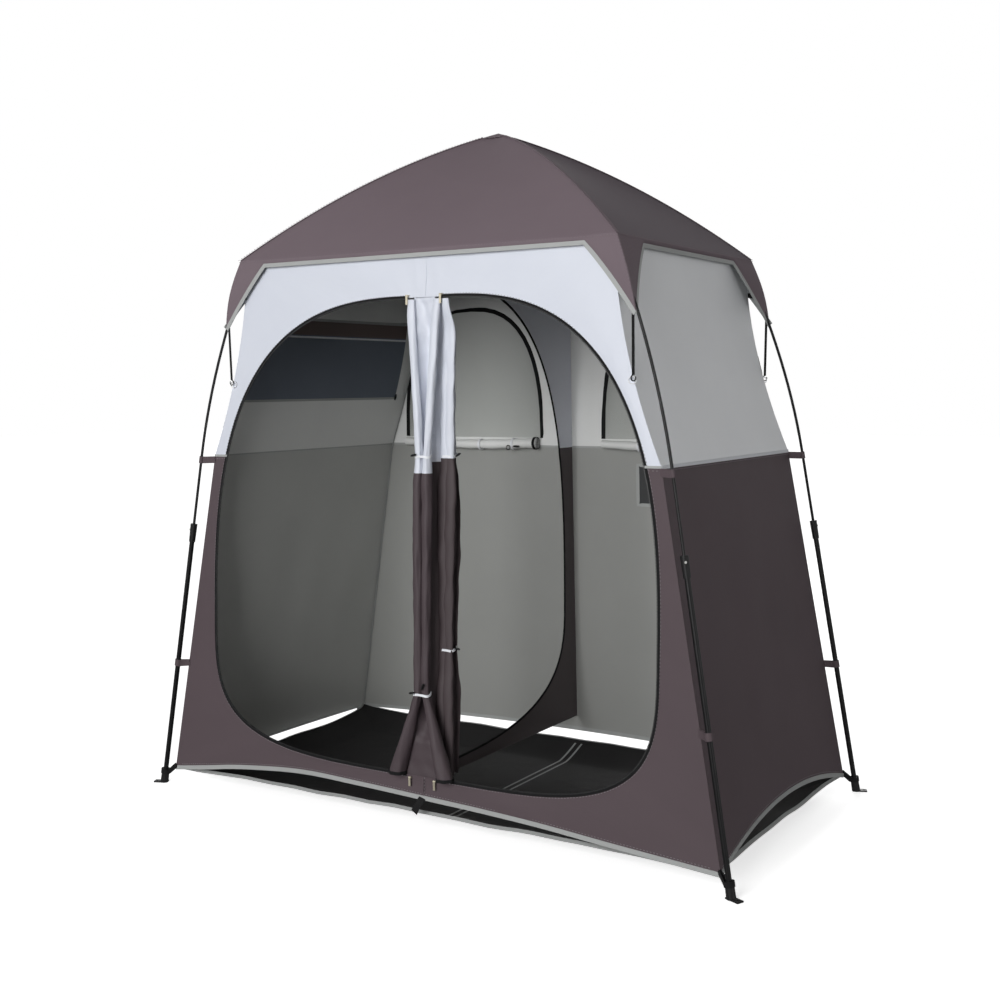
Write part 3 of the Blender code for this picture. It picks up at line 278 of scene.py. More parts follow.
def bodyX(z):
    if z <= seamZ:
        return mix(hemX, seamX, (z - hemZ) / (seamZ - hemZ))
    return topX + (seamX - topX) * max(0, 1 - (z - seamZ) / (topZ - seamZ)) ** cornerCurve


def bodyY(z):
    if z <= seamZ:
        return mix(hemY, seamY, (z - hemZ) / (seamZ - hemZ))
    return mix(seamY, topY, (z - seamZ) / (topZ - seamZ))


def roundEdge(z, waist, top, sill, start, reach, topPower, sillPower):
    height, power = (top - waist, topPower) if z >= waist else (waist - sill, sillPower)
    share = min(1, abs(z - waist) / height)
    return start + (reach - start) * (1 - share ** power) ** (1 / power)


def wallPoint(side, along, z, out=0.0):
    sign = -1 if side in ("front", "left") else 1
    if walls[side].x == 0:
        return Vector((along, sign * (bodyY(z) + out), z))
    return Vector((sign * (bodyX(z) + out), along, z))


def wallRun(side, run, out=0.0):
    return [wallPoint(side, a, z, out) for a, z in run]


def noiseAt(*place):
    return noise.noise(Vector(place))


def swell(along, z, seed):
    # Slow in and out of a taut wall, a few millimetres over some 35 cm
    return 0.006 * noiseAt(along * 2.8, z * 2.8, seed)


def pathLine(points):
    # A place along a run of points, by share of its length
    marks = [0.0]
    for a, b in zip(points, points[1:]):
        marks.append(marks[-1] + (Vector(b) - Vector(a)).length)

    def at(share):
        want = min(1, max(0, share)) * marks[-1]
        for i in range(1, len(marks)):
            if want <= marks[i] or i == len(marks) - 1:
                span = marks[i] - marks[i - 1]
                t = (want - marks[i - 1]) / span if span else 0
                return Vector(points[i - 1]).lerp(Vector(points[i]), t)

    return at


def joinedLine(*runs):
    # Several runs end to end, each given with the share of the whole it takes
    lines, start = [], 0
    for share, points in runs:
        lines.append((start, share, pathLine(points)))
        start += share

    def at(share):
        for begin, size, line in lines:
            if share <= begin + size + 1e-9:
                return line((share - begin) / size)
        return lines[-1][2](1)

    return at


def sample(line, count):
    return [line(t) for t in steps(0, 1, count)]


# How much of each cloth's spread is kept as the frame folds
kept = {
    "middle": 0.13, "floor": 0.055, "wall": 0.08, "sideWall": 0.09, "roof": 0.12, "doors": 0.07,
    "rolls": 0.045, "peak": 1.0, "pulls": 0.03,
}


def gatherPlans():
    # Rows of (tag, kept side of a cut, body, axis, anchor, share kept)
    made = {"middle": [("", None, "tent_body", (0, 1, 0), (0, 0, 0), kept["middle"])],
            "floor": [("", None, "tent_body", (1, 0, 0), (0, 0, 0), kept["floor"])]}
    for side, out in walls.items():
        made[side] = []
        for name, (sx, sy) in corners.items():
            if Vector((sx, sy, 0)).dot(out) > 0:
                run = (Vector((sx * footX, sy * footY, 0)) - elbows[name]).normalized()
                axis = out.cross(run).normalized()
                keep = Vector((sx, 0, 0)) if out.x == 0 else Vector((0, sy, 0))
                share = kept["wall" if out.x == 0 else "sideWall"]
                made[side].append((name, keep, "leg_" + name, tuple(axis), tuple(elbows[name]), share))
    # The tied doors and their fittings go whole to one leg, beside the divider
    made["doors"] = [("", None, *row[2:5], kept["doors"]) for row in made["front"] if row[0] == "front_right"]
    made["rearRolls"] = [(*row[:5], kept["rolls"]) for row in made["rear"]]
    return made


plans = gatherPlans()


def linkMesh(name, bm, coats):
    mesh = bpy.data.meshes.new(name)
    bm.to_mesh(mesh)
    obj = bpy.data.objects.new(name, mesh)
    scene.collection.objects.link(obj)
    for coat in coats:
        mesh.materials.append(finish[coat])
    return obj


def convert(obj):
    graph = bpy.context.evaluated_depsgraph_get()
    mesh = bpy.data.meshes.new_from_object(obj.evaluated_get(graph))
    obj.modifiers.clear()
    obj.data = mesh


def smooth(obj, angle):
    obj.data.shade_smooth()
    obj.data.set_sharp_from_angle(angle=radians(angle))


def hang(name, bm, coats, plan, slotName, nodes=(), held=None, thickness=0.001, angle=50, flat=None):
    # Puts a mesh in the scene, cut where its two halves gather to different legs
    # held marks a sheet: it gets its thickness here
    for tag, keepSide, body, axis, anchor, share in plans[plan]:
        part = bm.copy()
        if keepSide:
            bmesh.ops.bisect_plane(
                part, geom=[*part.verts, *part.edges, *part.faces], dist=1e-6,
                plane_co=(0, 0, 0), plane_no=keepSide, clear_inner=True)
            if not held:
                bmesh.ops.holes_fill(part, edges=[e for e in part.edges if e.is_boundary])
        if not part.faces:
            part.free()
            continue
        area = sum(f.calc_area() for f in part.faces)
        obj = linkMesh(name + ("." + tag if tag else ""), part, coats)
        low, high = (Vector([pick(v.co[i] for v in part.verts) for i in range(3)]) for pick in (min, max))
        part.free()
        if held:
            shell = obj.modifiers.new("cloth", "SOLIDIFY")
            shell.thickness = thickness
            shell.offset = -1
            shell.material_offset = len(coats) // 2
            shell.material_offset_rim = 0
            convert(obj)
        smooth(obj, angle)
        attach(obj, body)
        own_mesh(obj)
        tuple(axis)
        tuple(anchor)
        if nodes:
            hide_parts(*nodes)
        if held:
            # A frame of cloth round an opening counts as the strip it is pieced from
            width, length = sorted(high - low)[1:]
            width = min(width, area / length * 2)
            length = max(length, area / width)
            width, length = flat or (width, length)
    bm.free()


def putOnLeg(label, corner, bm, coat, angle=50):
    # For small pieces that keep their shape and go with one leg
    obj = linkMesh(label.replace("*", corner), bm, (coat,))
    bm.free()
    smooth(obj, angle)
    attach(obj, "leg_" + corner)


def gridMesh(columns, rows, point, out=None, coatOf=None):
    # A sheet of quads from point(u, v), with its own size in metres as the UV map "cloth"
    bm = bmesh.new()
    at = [[point(i / columns, j / rows) for i in range(columns + 1)] for j in range(rows + 1)]
    middleRow, middleColumn = at[rows // 2], [row[columns // 2] for row in at]
    stepU = sum((b - a).length for a, b in zip(middleRow, middleRow[1:])) / columns
    stepV = sum((b - a).length for a, b in zip(middleColumn, middleColumn[1:])) / rows
    verts = [[bm.verts.new(p) for p in row] for row in at]
    layer = bm.loops.layers.uv.new("cloth")
    for j in range(rows):
        for i in range(columns):
            ring = ((i, j), (i + 1, j), (i + 1, j + 1), (i, j + 1))
            face = bm.faces.new([verts[b][a] for a, b in ring])
            for loop, (a, b) in zip(face.loops, ring):
                loop[layer].uv = (a * stepU, b * stepV)
            if coatOf:
                face.material_index = coatOf(face.calc_center_median())
    bmesh.ops.remove_doubles(bm, verts=bm.verts, dist=1e-6)
    bm.normal_update()
    if out:
        facing = sum((f.normal * f.calc_area() for f in bm.faces), Vector())
        if facing.dot(Vector(out)) < 0:
            bmesh.ops.reverse_faces(bm, faces=bm.faces)
    return bm


def headings(points, closed):
    # The way a run goes at each point, from its neighbours
    count = len(points)
    for i in range(count):
        before, after = (i - 1, (i + 1) % count) if closed else (max(i - 1, 0), min(i + 1, count - 1))
        yield (points[after] - points[before]).normalized()


def skinRings(bm, rings, closed):
    # Quads from each ring to the next, and ends on an open run; gives each quad with its ring and side
    count, around, made = len(rings), len(rings[0]), []
    for i in range(count if closed else count - 1):
        a, b = rings[i], rings[(i + 1) % count]
        for k in range(around):
            n = (k + 1) % around
            made.append((i, k, bm.faces.new((a[k], a[n], b[n], b[k]))))
    if not closed:
        bm.faces.new(rings[0][::-1])
        bm.faces.new(rings[-1])
    return made


def tapeMesh(points, normal, width, thickness, shift=0.0, lift=0.0, closed=False, bm=None):
    # A flat ribbon along points: its width lies across normal, shift moves it sideways and lift off the cloth
    bm = bm or bmesh.new()
    layer = bm.loops.layers.uv.get("cloth") or bm.loops.layers.uv.new("cloth")
    points = [Vector(p) for p in points]
    rings, marks = [], [0.0]
    for i, along in enumerate(headings(points, closed)):
        face = Vector(normal(i) if callable(normal) else normal)
        side = face.cross(along).normalized()
        face = along.cross(side)
        middle = points[i] + side * shift + face * lift
        rings.append([bm.verts.new(middle + side * (a * width / 2) + face * (b * thickness / 2))
                      for a, b in ((-1, -1), (1, -1), (1, 1), (-1, 1))])
        marks.append(marks[-1] + (points[(i + 1) % len(points)] - points[i]).length)
    for i, k, face in skinRings(bm, rings, closed):
        across, (start, end) = thickness if k % 2 else width, marks[i:i + 2]
        for loop, uv in zip(face.loops, ((start, 0), (start, across), (end, across), (end, 0))):
            loop[layer].uv = uv
    bmesh.ops.recalc_face_normals(bm, faces=bm.faces)
    return bm


def tubeMesh(points, radius, around=8, closed=False):
    # A round cord or wire along points
    bm = bmesh.new()
    points = [Vector(p) for p in points]
    rings, side = [], None
    for i, along in enumerate(headings(points, closed)):
        side = along.orthogonal() if side is None else side
        side = (side - along * side.dot(along)).normalized()
        other = along.cross(side)
        size = radius(i / (len(points) - 1)) if callable(radius) else radius
        rings.append([bm.verts.new(points[i] + (side * cos(a) + other * sin(a)) * size)
                      for a in circle(around)])
    skinRings(bm, rings, closed)
    bmesh.ops.recalc_face_normals(bm, faces=bm.faces)
    return bm


def barrel(radius, waist=0.0):
    # The radius along a toggle, waisted in the middle where a cord goes through
    return lambda t: (radius * (0.6 + 0.4 * sin(pi * t))
                      * (1 - waist * exp(-((t - 0.5) / 0.1) ** 2)))


def tape(name, run, out, width, thickness, coat, plan, slotName, **more):
    hang(name, tapeMesh(run, out, width, thickness, **more), (coat,), plan, slotName)


def fitting(name, run, radius, plan, **more):
    hang(name, tubeMesh(run, radius, **more), ("plastic",), plan, "black_plastic")


def makeRepeatTree():
    # Small blocks set evenly along lines: stitches and zip teeth
    tree = bpy.data.node_groups.new("repeatAlong", "GeometryNodeTree")
    given = {"Geometry": "Geometry", "pitch": "Float", "size": "Vector", "coat": "Material"}
    for name, kind in given.items():
        tree.interface.new_socket(name, in_out="INPUT", socket_type="NodeSocket" + kind)
    tree.interface.new_socket("Geometry", in_out="OUTPUT", socket_type="NodeSocketGeometry")
    given = addNode(tree, "NodeGroupInput").outputs
    line = addNode(tree, "GeometryNodeMeshToCurve", {}, {"Mesh": given["Geometry"]})
    even = addNode(tree, "GeometryNodeResampleCurve", {"mode": "LENGTH"}, {
        "Curve": line.outputs["Curve"], "Length": given["pitch"]})
    places = addNode(tree, "GeometryNodeCurveToPoints", {"mode": "EVALUATED"}, {
        "Curve": even.outputs["Curve"]})
    block = addNode(tree, "GeometryNodeMeshCube", {}, {"Size": given["size"]})
    copies = addNode(tree, "GeometryNodeInstanceOnPoints", {}, {
        "Points": places.outputs["Points"], "Instance": block.outputs["Mesh"],
        "Rotation": places.outputs["Rotation"]})
    solid = addNode(tree, "GeometryNodeRealizeInstances", {}, {"Geometry": copies.outputs["Instances"]})
    coated = addNode(tree, "GeometryNodeSetMaterial", {}, {
        "Geometry": solid.outputs["Geometry"], "Material": given["coat"]})
    addNode(tree, "NodeGroupOutput", {}, {"Geometry": coated.outputs["Geometry"]})
    return tree


repeatTree = makeRepeatTree()


def repeatAlong(name, runs, pitch, size, coat, plan, slotName):
    bm = bmesh.new()
    for run in runs:
        verts = [bm.verts.new(p) for p in run]
        for a, b in zip(verts, verts[1:]):
            bm.edges.new((a, b))
    obj = linkMesh(name + "Line", bm, ())
    bm.free()
    repeat = obj.modifiers.new("repeat", "NODES")
    repeat.node_group = repeatTree
    for item in repeatTree.interface.items_tree:
        value = {"pitch": pitch, "size": size, "coat": finish[coat]}.get(item.name)
        if value is not None:
            repeat[item.identifier] = value
    convert(obj)
    bm = bmesh.new()
    bm.from_mesh(obj.data)
    for face in bm.faces:
        face.material_index = 0
    bpy.data.objects.remove(obj)
    hang(name, bm, (coat,), plan, slotName)


def stitch(name, runs, coat, plan, slotName):
    # Drawn 10 mm apart and 5 mm long, some three times as coarse as real ones, so that they hold in a picture
    repeatAlong(name, runs, 0.010, (0.0012, 0.0012, 0.005), coat, plan, slotName)


# Door openings in the front wall
door = {
    "reach": 0.803, "waist": 0.604, "top": 1.602, "sill": 0.172, "topPower": 2.7, "sillPower": 3.7,
    "stripLeft": -0.024, "middle": 0.036, "stripRight": 0.096,
}


def doorStart(sign):
    return door["stripRight"] if sign > 0 else door["stripLeft"]


def doorX(sign, z):
    start = abs(doorStart(sign))
    height = (door[key] for key in ("waist", "top", "sill"))
    reach = roundEdge(z, *height, start, door["reach"], door["topPower"], door["sillPower"])
    return sign * reach if reach > start + 1e-6 else doorStart(sign)


def doorRun(sign, low, high, count=40):
    # A side of the opening from low to high, closer points where it rounds over
    upper = low >= door["waist"]
    run = []
    for t in steps(0, pi / 2, count):
        z = mix(low, high, sin(t) if upper else 1 - cos(t))
        run.append((doorX(sign, z), z))
    run[-1 if upper else 0] = (doorStart(sign), door["top" if upper else "sill"])
    return run


frontHem = [(-0.9935, 0.051), (-0.85, 0.072), (-0.70, 0.095), (-0.443, 0.118), (-0.202, 0.115),
            (0.026, 0.108), (0.24, 0.101), (0.443, 0.091), (0.636, 0.076), (0.818, 0.063), (0.9935, 0.051)]


def curveThrough(stops, count):
    # A smooth run through stops (place, height), as a cubic with slopes taken from the neighbours
    run = []

    def slope(j):
        a, b = stops[max(j - 1, 0)], stops[min(j + 1, len(stops) - 1)]
        return (b[1] - a[1]) / (b[0] - a[0])

    for x in steps(stops[0][0], stops[-1][0], count):
        k = max(j for j in range(len(stops) - 1) if stops[j][0] <= x + 1e-9)
        (x0, y0), (x1, y1) = stops[k], stops[k + 1]
        t, h = (x - x0) / (x1 - x0), x1 - x0
        y = (2 * t**3 - 3 * t**2 + 1) * y0 + (t**3 - 2 * t**2 + t) * h * slope(k)
        y += (3 * t**2 - 2 * t**3) * y1 + (t**3 - t**2) * h * slope(k + 1)
        run.append((x, y))
    return run


def edgeRun(low, high, count=16):
    return [(bodyX(z), z) for z in steps(low, high, count)]


def mirrored(run):
    return [(-x, z) for x, z in run]


# Short drag folds where the strip pulls on the cloth over the doors
drag = {"depth": 0.0025, "pitch": 90, "slant": 25, "reach": 0.10}


def frontSwell(x, z):
    off = x - door["middle"]
    fold = drag["depth"] * sin(off * drag["pitch"] + z * drag["slant"]) * exp(-((off / drag["reach"]) ** 2))
    return swell(x, z, 1) * 1.4 + fold


def frontSheet(part, inner, outer, bulge, coats):
    def sheet(u, v):
        at = inner(u).lerp(outer(u), v)
        fade = sin(pi * v) * min(1, 12 * u, 12 * (1 - u))
        return wallPoint("front", at.x, at.y, bulge(at.x, at.y) * fade)

    low = part.lower()
    hang(f"front{part}Cloth", gridMesh(100, 14, sheet, walls["front"]), coats, "front", low + "_cloth",
         (f"front_{low}_panel",), "stretched")


def makeFrontWall():
    runs = {}
    for end, low, high in (("top", seamZ, door["top"]), ("sill", door["sill"], seamZ)):
        strip = [(door["stripLeft"], door[end]), (door["stripRight"], door[end])]
        runs[end] = doorRun(-1, low, high), strip, doorRun(1, low, high)
    left, strip, right = runs["top"]
    edge = edgeRun(seamZ, cutZ)
    top = [(-cutX, topZ), (cutX, topZ)]
    inner = joinedLine((0.47, left), (0.06, strip), (0.47, right[::-1]))
    outer = joinedLine((0.26, mirrored(edge)), (0.04, [mirrored(edge)[-1], top[0]]), (0.40, top),
                       (0.04, [top[1], edge[-1]]), (0.26, edge[::-1]))
    frontSheet("Upper", inner, outer, frontSwell, ("silver", "coating"))
    left, strip, right = runs["sill"]
    edge = edgeRun(hemZ, seamZ)
    inner = joinedLine((0.47, left[::-1]), (0.06, strip), (0.47, right))
    outer = joinedLine((0.30, mirrored(edge)[::-1]), (0.40, curveThrough(frontHem, 60)), (0.30, edge))
    frontSheet("Lower", inner, outer, lambda x, z: swell(x, z, 2), ("taupe", "taupeCoating"))


# Lower walls: how far the hem rises in the middle, columns of the grid, lining, and place in the noise
lowerWalls = {
    # the rear wall's lining is the darker copy of the grey lining, as painted shade
    "rear": {"rise": 0.030, "columns": 64, "lining": "rearCoatingPaintedShade", "offset": 0, "seed": 3},
    "left": {"rise": 0.006, "columns": 36, "lining": "lowCoating", "offset": 3, "seed": 4},
    "right": {"rise": 0.075, "columns": 36, "lining": "lowCoating", "offset": 3, "seed": 4},
}


def hemAt(side, a):
    return hemZ + lowerWalls[side]["rise"] * (1 - a * a)


def makeLower(side):
    wall = lowerWalls[side]

    def lower(u, v):
        a = mix(-1, 1, u)
        z = mix(hemAt(side, a), seamZ, v)
        half = bodyX(z) if side == "rear" else bodyY(z) - tuck
        fade = sin(pi * v) * (1 - a**8)
        return wallPoint(side, a * half, z, swell(a + wall["offset"], z, wall["seed"]) * fade)

    bm = gridMesh(wall["columns"], 30, lower, walls[side])
    hang(side + "LowerCloth", bm, ("taupe", wall["lining"]), side, "lower_cloth", (side + "_lower_panel",),
         "stretched")


def sideHalf(z):
    half = bodyY(z) - tuck
    return half if z <= cutZ else mix(half, cutY, (z - cutZ) / (topZ - cutZ))


def makeRightUpper():
    def upper(u, v):
        a, z = mix(-1, 1, u), mix(seamZ, topZ, v)
        fade = sin(pi * v) * (1 - a**8)
        return wallPoint("right", a * sideHalf(z), z, swell(a - 2, z, 5) * fade)

    # the right wall's outside is the lighter copy of the silver cloth, as painted light
    hang("rightUpperCloth", gridMesh(36, 20, upper, walls["right"]), ("silverPaintedLight", "coating"), "right",
         "upper_cloth", ("right_upper_panel",), "stretched")


def rayOut(loop, centre, angle):
    # Where a ray from centre leaves a closed outline
    ray = Vector((cos(angle), sin(angle)))
    best = None
    for a, b in zip(loop, [*loop[1:], loop[0]]):
        a, b = Vector(a) - centre, Vector(b) - centre
        run = b - a
        cross = ray.x * run.y - ray.y * run.x
        if abs(cross) < 1e-12:
            continue
        reach = (a.x * run.y - a.y * run.x) / cross
        share = (a.x * ray.y - a.y * ray.x) / cross
        if reach > 0 and -1e-7 <= share <= 1 + 1e-7 and (best is None or reach > best):
            best = reach
    return centre + ray * best


def roundHole(inner, outer, centre, side, seed, count=96, rows=10):
    # A sheet between a hole and its outside edge, with columns through every corner of either
    centre = Vector(centre)
    angles = {round(2 * pi * i / count, 5) for i in range(count)}
    for x, z in [*inner, *outer]:
        angle = atan2(z - centre.y, x - centre.x) % (2 * pi)
        angles = {a for a in angles if abs(a - angle) > 0.4 * pi / count} | {angle}
    angles = sorted(angles)
    angles.append(angles[0] + 2 * pi)
    hits = [(rayOut(inner, centre, a), rayOut(outer, centre, a)) for a in angles]
    columns = len(hits) - 1

    def point(u, v):
        a, b = hits[round(u * columns)]
        at = a.lerp(b, v)
        return wallPoint(side, at.x, at.y, swell(at.x, at.y, seed) * sin(pi * v))

    return gridMesh(columns, rows, point, walls[side])


netInset, netThickness = -0.0005, 0.0005
rearWindow = {"middle": 0.425, "half": 0.300, "sill": 1.150, "top": 1.625, "power": 2.6, "centre": 1.33}


def windowArch(sign, count=24):
    sill, top, power = rearWindow["sill"], rearWindow["top"], 2 / rearWindow["power"]
    run = []
    for i in range(count + 1):
        a = pi * i / count
        c, s = cos(a), sin(a)
        x = sign * rearWindow["middle"] + rearWindow["half"] * copysign(abs(c) ** power, c)
        run.append((x, sill + (top - sill) * s**power))
    return run


def makeRearUpper():
    for sign, tag in sides:
        middle = sign * rearWindow["middle"]
        edge = [(sign * x, z) for x, z in edgeRun(seamZ, cutZ, 10)]
        outer = [(0, seamZ), *edge, (sign * cutX, topZ), (0, topZ)]
        bm = roundHole(windowArch(sign), outer, (middle, rearWindow["centre"]), "rear", 6)
        hang("rearUpperCloth" + tag, bm, ("silver", "coating"), "rear", "upper_cloth", ("rear_upper_panel",),
             "stretched")

        def net(u, v):
            a = -cos(pi * u)
            height = (1 - abs(a) ** rearWindow["power"]) ** (1 / rearWindow["power"])
            z = mix(rearWindow["sill"], rearWindow["top"], height * v)
            return wallPoint("rear", middle + rearWindow["half"] * a, z, netInset)

        hang("rearNet" + tag, gridMesh(36, 16, net, walls["rear"]), ("net", "net"), "rear", "window_mesh",
             ("rear_window_" + tag.lower(),), "stretched", thickness=netThickness)


leftWindow = {"half": 0.420, "low": 1.300, "high": 1.575, "centre": 1.44, "band": 0.055}


def leftOutline():
    half, low, high = (leftWindow[key] for key in ("half", "low", "high"))
    return [(-half, low), (half, low), (half, high), (-half, high)]


def makeLeftUpper():
    half, low, high = (leftWindow[key] for key in ("half", "low", "high"))
    edge = [(sideHalf(z), z) for z in steps(seamZ, cutZ, 10)]
    outer = [*mirrored(edge)[::-1], *edge, (cutY, topZ), (-cutY, topZ)]
    bm = roundHole(leftOutline(), outer, (0, leftWindow["centre"]), "left", 7, count=72, rows=12)
    hang("leftUpperCloth", bm, ("silver", "coating"), "left", "upper_cloth", ("left_upper_panel",),
         "stretched")

    def net(u, v):
        return wallPoint("left", mix(-half, half, u), mix(low, high, v), netInset)

    bm = gridMesh(24, 15, net, walls["left"], lambda at: 1 if at.z > high - leftWindow["band"] else 0)
    hang("leftNet", bm, ("windowDark", "brownBand", "windowDark", "brownBand"), "left", "window_mesh",
         ("left_window",), "stretched", thickness=netThickness)


makeFrontWall()
for side in lowerWalls:
    makeLower(side)
makeRightUpper()
makeRearUpper()
makeLeftUpper()
print("walls made")

# Canopy: eight half faces that meet on the hips and on their middles, and the skirt with its corner flaps
roof = {
    "sag": 0.016, "open": 0.06, "capOver": 0.015, "flapFront": 0.098, "flapSide": 0.158, "turn": 0.6,
    "tip": (0.7348, 0.4980, 1.531), "hollow": 0.24, "bow": 0.012, "swell": 0.003, "seam": 0.0006,
    "hipTape": (0.010, 0.0016), "binding": (0.013, 0.0022), "stitchAside": 0.007, "stitchUnder": 0.005,
    "capLift": 0.0009, "hemOff": 0.0012,
}


def hipZ(s):
    return mix(peakZ, eaveZ, s) + 4 * hipBow * s * (1 - s)


def makeRoof():
    for name, (sx, sy) in corners.items():
        edge = Vector((sx * eaveX, sy * eaveY, 0))
        hip = (Vector((sx * eaveX, sy * eaveY, eaveZ)) - Vector((0, 0, peakZ))).normalized()
        for side, out in walls.items():
            if Vector((sx, sy, 0)).dot(out) <= 0:
                continue
            middle = Vector((out.x * eaveX, out.y * eaveY, 0))
            lean = Vector((out.x * eaveX, out.y * eaveY, eaveZ - peakZ)).normalized()
            normal = Vector((-out.y, out.x, 0)).cross(lean).normalized()
            normal = normal if normal.z > 0 else -normal

            def face(u, v):
                v = mix(roof["open"], 1, v)
                at = middle.lerp(edge, u) * v
                sag = roof["sag"] * 4 * v * (1 - v) * (1 - u * u)
                return Vector((at.x, at.y, hipZ(v))) - normal * sag

            across = normal.cross(hip).normalized()
            plans["roof"] = [("", None, "rib_" + name, tuple(across), tuple(hubPins[name]), kept["roof"])]
            # the left and right faces take the darker copy of the canopy cloth, as painted shade
            coats = ("canopy" if out.x == 0 else "canopyPaintedShade", "taupeCoating")
            hang(f"roofCloth.{side}.{name}", gridMesh(14, 30, face, normal), coats, "roof", "canopy_cloth",
                 ("canopy",), "stretched")
        # The hip's seam gathers with the side face
        ridge = [Vector((sx * eaveX * v, sy * eaveY * v, hipZ(v) + roof["seam"]))
                 for v in steps(roof["open"], 1, 30)]
        tape("hipSeam." + name, ridge, up, *roof["hipTape"], "canopy", "roof", "canopy_cloth")
        offset = Vector((0, sx * roof["stitchAside"], 0))
        runs = [[p + offset * way + up * roof["seam"] for p in ridge] for way in (-1, 1)]
        stitch("hipStitches." + name, runs, "canopyThread", "roof", "canopy_cloth")


def makePeak():
    # A cap over the hub, under which the four corners' cloths end
    square = [(sx * eaveX, sy * eaveY, 0) for sx, sy in ((1, -1), (1, 1), (-1, 1), (-1, -1), (1, -1))]
    ring = pathLine(square)

    def cap(u, v):
        share = v * (roof["open"] + roof["capOver"])
        return ring(u) * share + up * (hipZ(share) + roof["capLift"])

    plans["peak"] = [("", None, "hub", up, (0, 0, peakZ), kept["peak"])]
    hang("peakCap", gridMesh(32, 6, cap, up), ("canopy", "taupeCoating"), "peak", "canopy_cloth", ("canopy",),
         "stretched")


def skirtEdge(side, share):
    # Upper and lower edge of the skirt at a share from -1 to 1 of a side: a hem, with flaps at the ends
    out = walls[side]
    end, flap = (eaveX, roof["flapFront"]) if out.x == 0 else (eaveY, roof["flapSide"])
    root = end - flap
    sign = 1 if share >= 0 else -1

    def on(along, z, off=0.0):
        if out.x == 0:
            return Vector((along, out.y * (eaveY + off), z))
        return Vector((out.x * (eaveX + off), along, z))

    if abs(share) <= roof["turn"]:
        along = sign * root * abs(share) / roof["turn"]
        return on(along, eaveZ), on(along, eaveZ - valance, roof["hemOff"])
    t = (abs(share) - roof["turn"]) / (1 - roof["turn"])
    corner = on(sign * end, eaveZ)
    x, y, z = roof["tip"]
    tip = Vector((copysign(x, corner.x), copysign(y, corner.y), z))
    first = on(sign * root, eaveZ - valance, roof["hemOff"])
    low = first.lerp(tip, t) + (corner - first.lerp(tip, 0.5)) * (roof["hollow"] * t * (1 - t))
    return on(sign * mix(root, end, t), eaveZ), low


def makeSkirt(side):
    out = walls[side]

    def skirt(u, v):
        share = abs(mix(-1, 1, u))
        high, low = skirtEdge(side, mix(-1, 1, u))
        at = high.lerp(low, v)
        corner = Vector((copysign(0.7, at.x), copysign(0.7, at.y), 0))
        bow = roof["bow"] * max(0, (share - roof["turn"]) / (1 - roof["turn"])) ** 2 * sin(pi * v)
        return at + out * (roof["swell"] * sin(pi * v) * (1 - share**6)) + corner * bow

    hang(side + "Skirt", gridMesh(80, 8, skirt, out), ("canopy", "coating"), side, "canopy_cloth",
         ("canopy",), "stretched")
    edge = [skirtEdge(side, share)[1] for share in steps(-1, 1, 120)]
    tape(side + "SkirtBinding", edge, out, *roof["binding"], "binding", side, "canopy_cloth",
         shift=-0.0045, lift=-0.0004)

    def below(u):
        # A place on the skirt the same way under the eave all along
        high, low = skirtEdge(side, mix(-1, 1, u))
        return skirt(u, roof["stitchUnder"] / (high - low).length) + out * roof["seam"]

    runs = [sample(below, 120)]
    for u in (0.004, 0.996):
        runs.append([skirt(u, v) + out * roof["seam"] for v in steps(0.05, 0.97, 16)])
    stitch(side + "SkirtStitches", runs, "canopyThread", side, "canopy_cloth")


makeRoof()
makePeak()
for side in walls:
    makeSkirt(side)
print("canopy made")

# Doors: each front door is rolled to its edge of the middle strip, and the two rolls are tied together
# Stops give a measure at a height, from the top down
rollStops = (1.602, 1.552, 1.135, 1.035, 0.425, 0.172)
rolls = {
    "x": 0.036, "split": 1.090, "turns": 7, "core": 0.3, "seat": 35, "strip": 0.075, "ties": (1.135, 0.425),
    "flat": (0.70, 1.43), "stripFlat": (0.12, 1.43), "zip": (0.008, 0.0018), "endZip": (0.010, 0.0018),
    "rough": 0.19, "fineRough": 0.6, "pinch": 0.12, "pinchReach": 0.045, "sunk": 0.4,
    "slack": 0.45, "crease": 0.007, "gathers": 0.0022, "gathersReach": 0.022, "gathersPitch": 420,
    "width": [*zip(rollStops, (0.012, 0.014, 0.0125, 0.0165, 0.0135, 0.026))],
    "depth": [*zip(rollStops, (0.005, 0.010, 0.0125, 0.0175, 0.0140, 0.025))],
    "apart": [*zip(rollStops, (0.047, 0.044, 0.0130, 0.0165, 0.0140, 0.088))],
}
# The divider's own door hangs gathered behind them
curtain = {
    "split": 1.120, "waves": 2.0, "cloth": 0.60, "columns": 120, "ties": (1.135, 0.555),
    "flat": (0.62, 1.43), "stripFlat": (0.08, 1.43),
    "crease": 0.003, "joinCrease": 0.004, "joinBehind": 0.003,
    "x": ((1.602, 0.109), (1.135, 0.086), (0.172, 0.086)),
    "width": ((1.602, 0.022), (1.45, 0.044), (1.135, 0.044), (1.035, 0.062), (0.555, 0.046),
              (0.395, 0.064), (0.172, 0.054)),
    "depth": ((1.602, 0.05), (1.45, 0.22), (1.135, 0.30), (0.90, 0.36), (0.555, 0.28),
              (0.395, 0.40), (0.172, 0.34)),
    "inset": ((1.602, 0.004), (1.48, 0.036), (1.135, 0.058), (0.172, 0.058)),
}
doorHigh, doorLow = door["top"] - 0.006, door["sill"] + 0.003


def stopsAt(stops, z, straight=False):
    for (z1, a), (z0, b) in zip(stops, stops[1:]):
        if z >= z0:
            t = min(1, max(0, (z1 - z) / (z1 - z0)))
            return mix(a, b, t if straight else t * t * (3 - 2 * t))
    return stops[-1][1]


def pinchAt(ties, z):
    return max(exp(-((z - tieZ) / rolls["pinchReach"]) ** 2) for tieZ in ties)


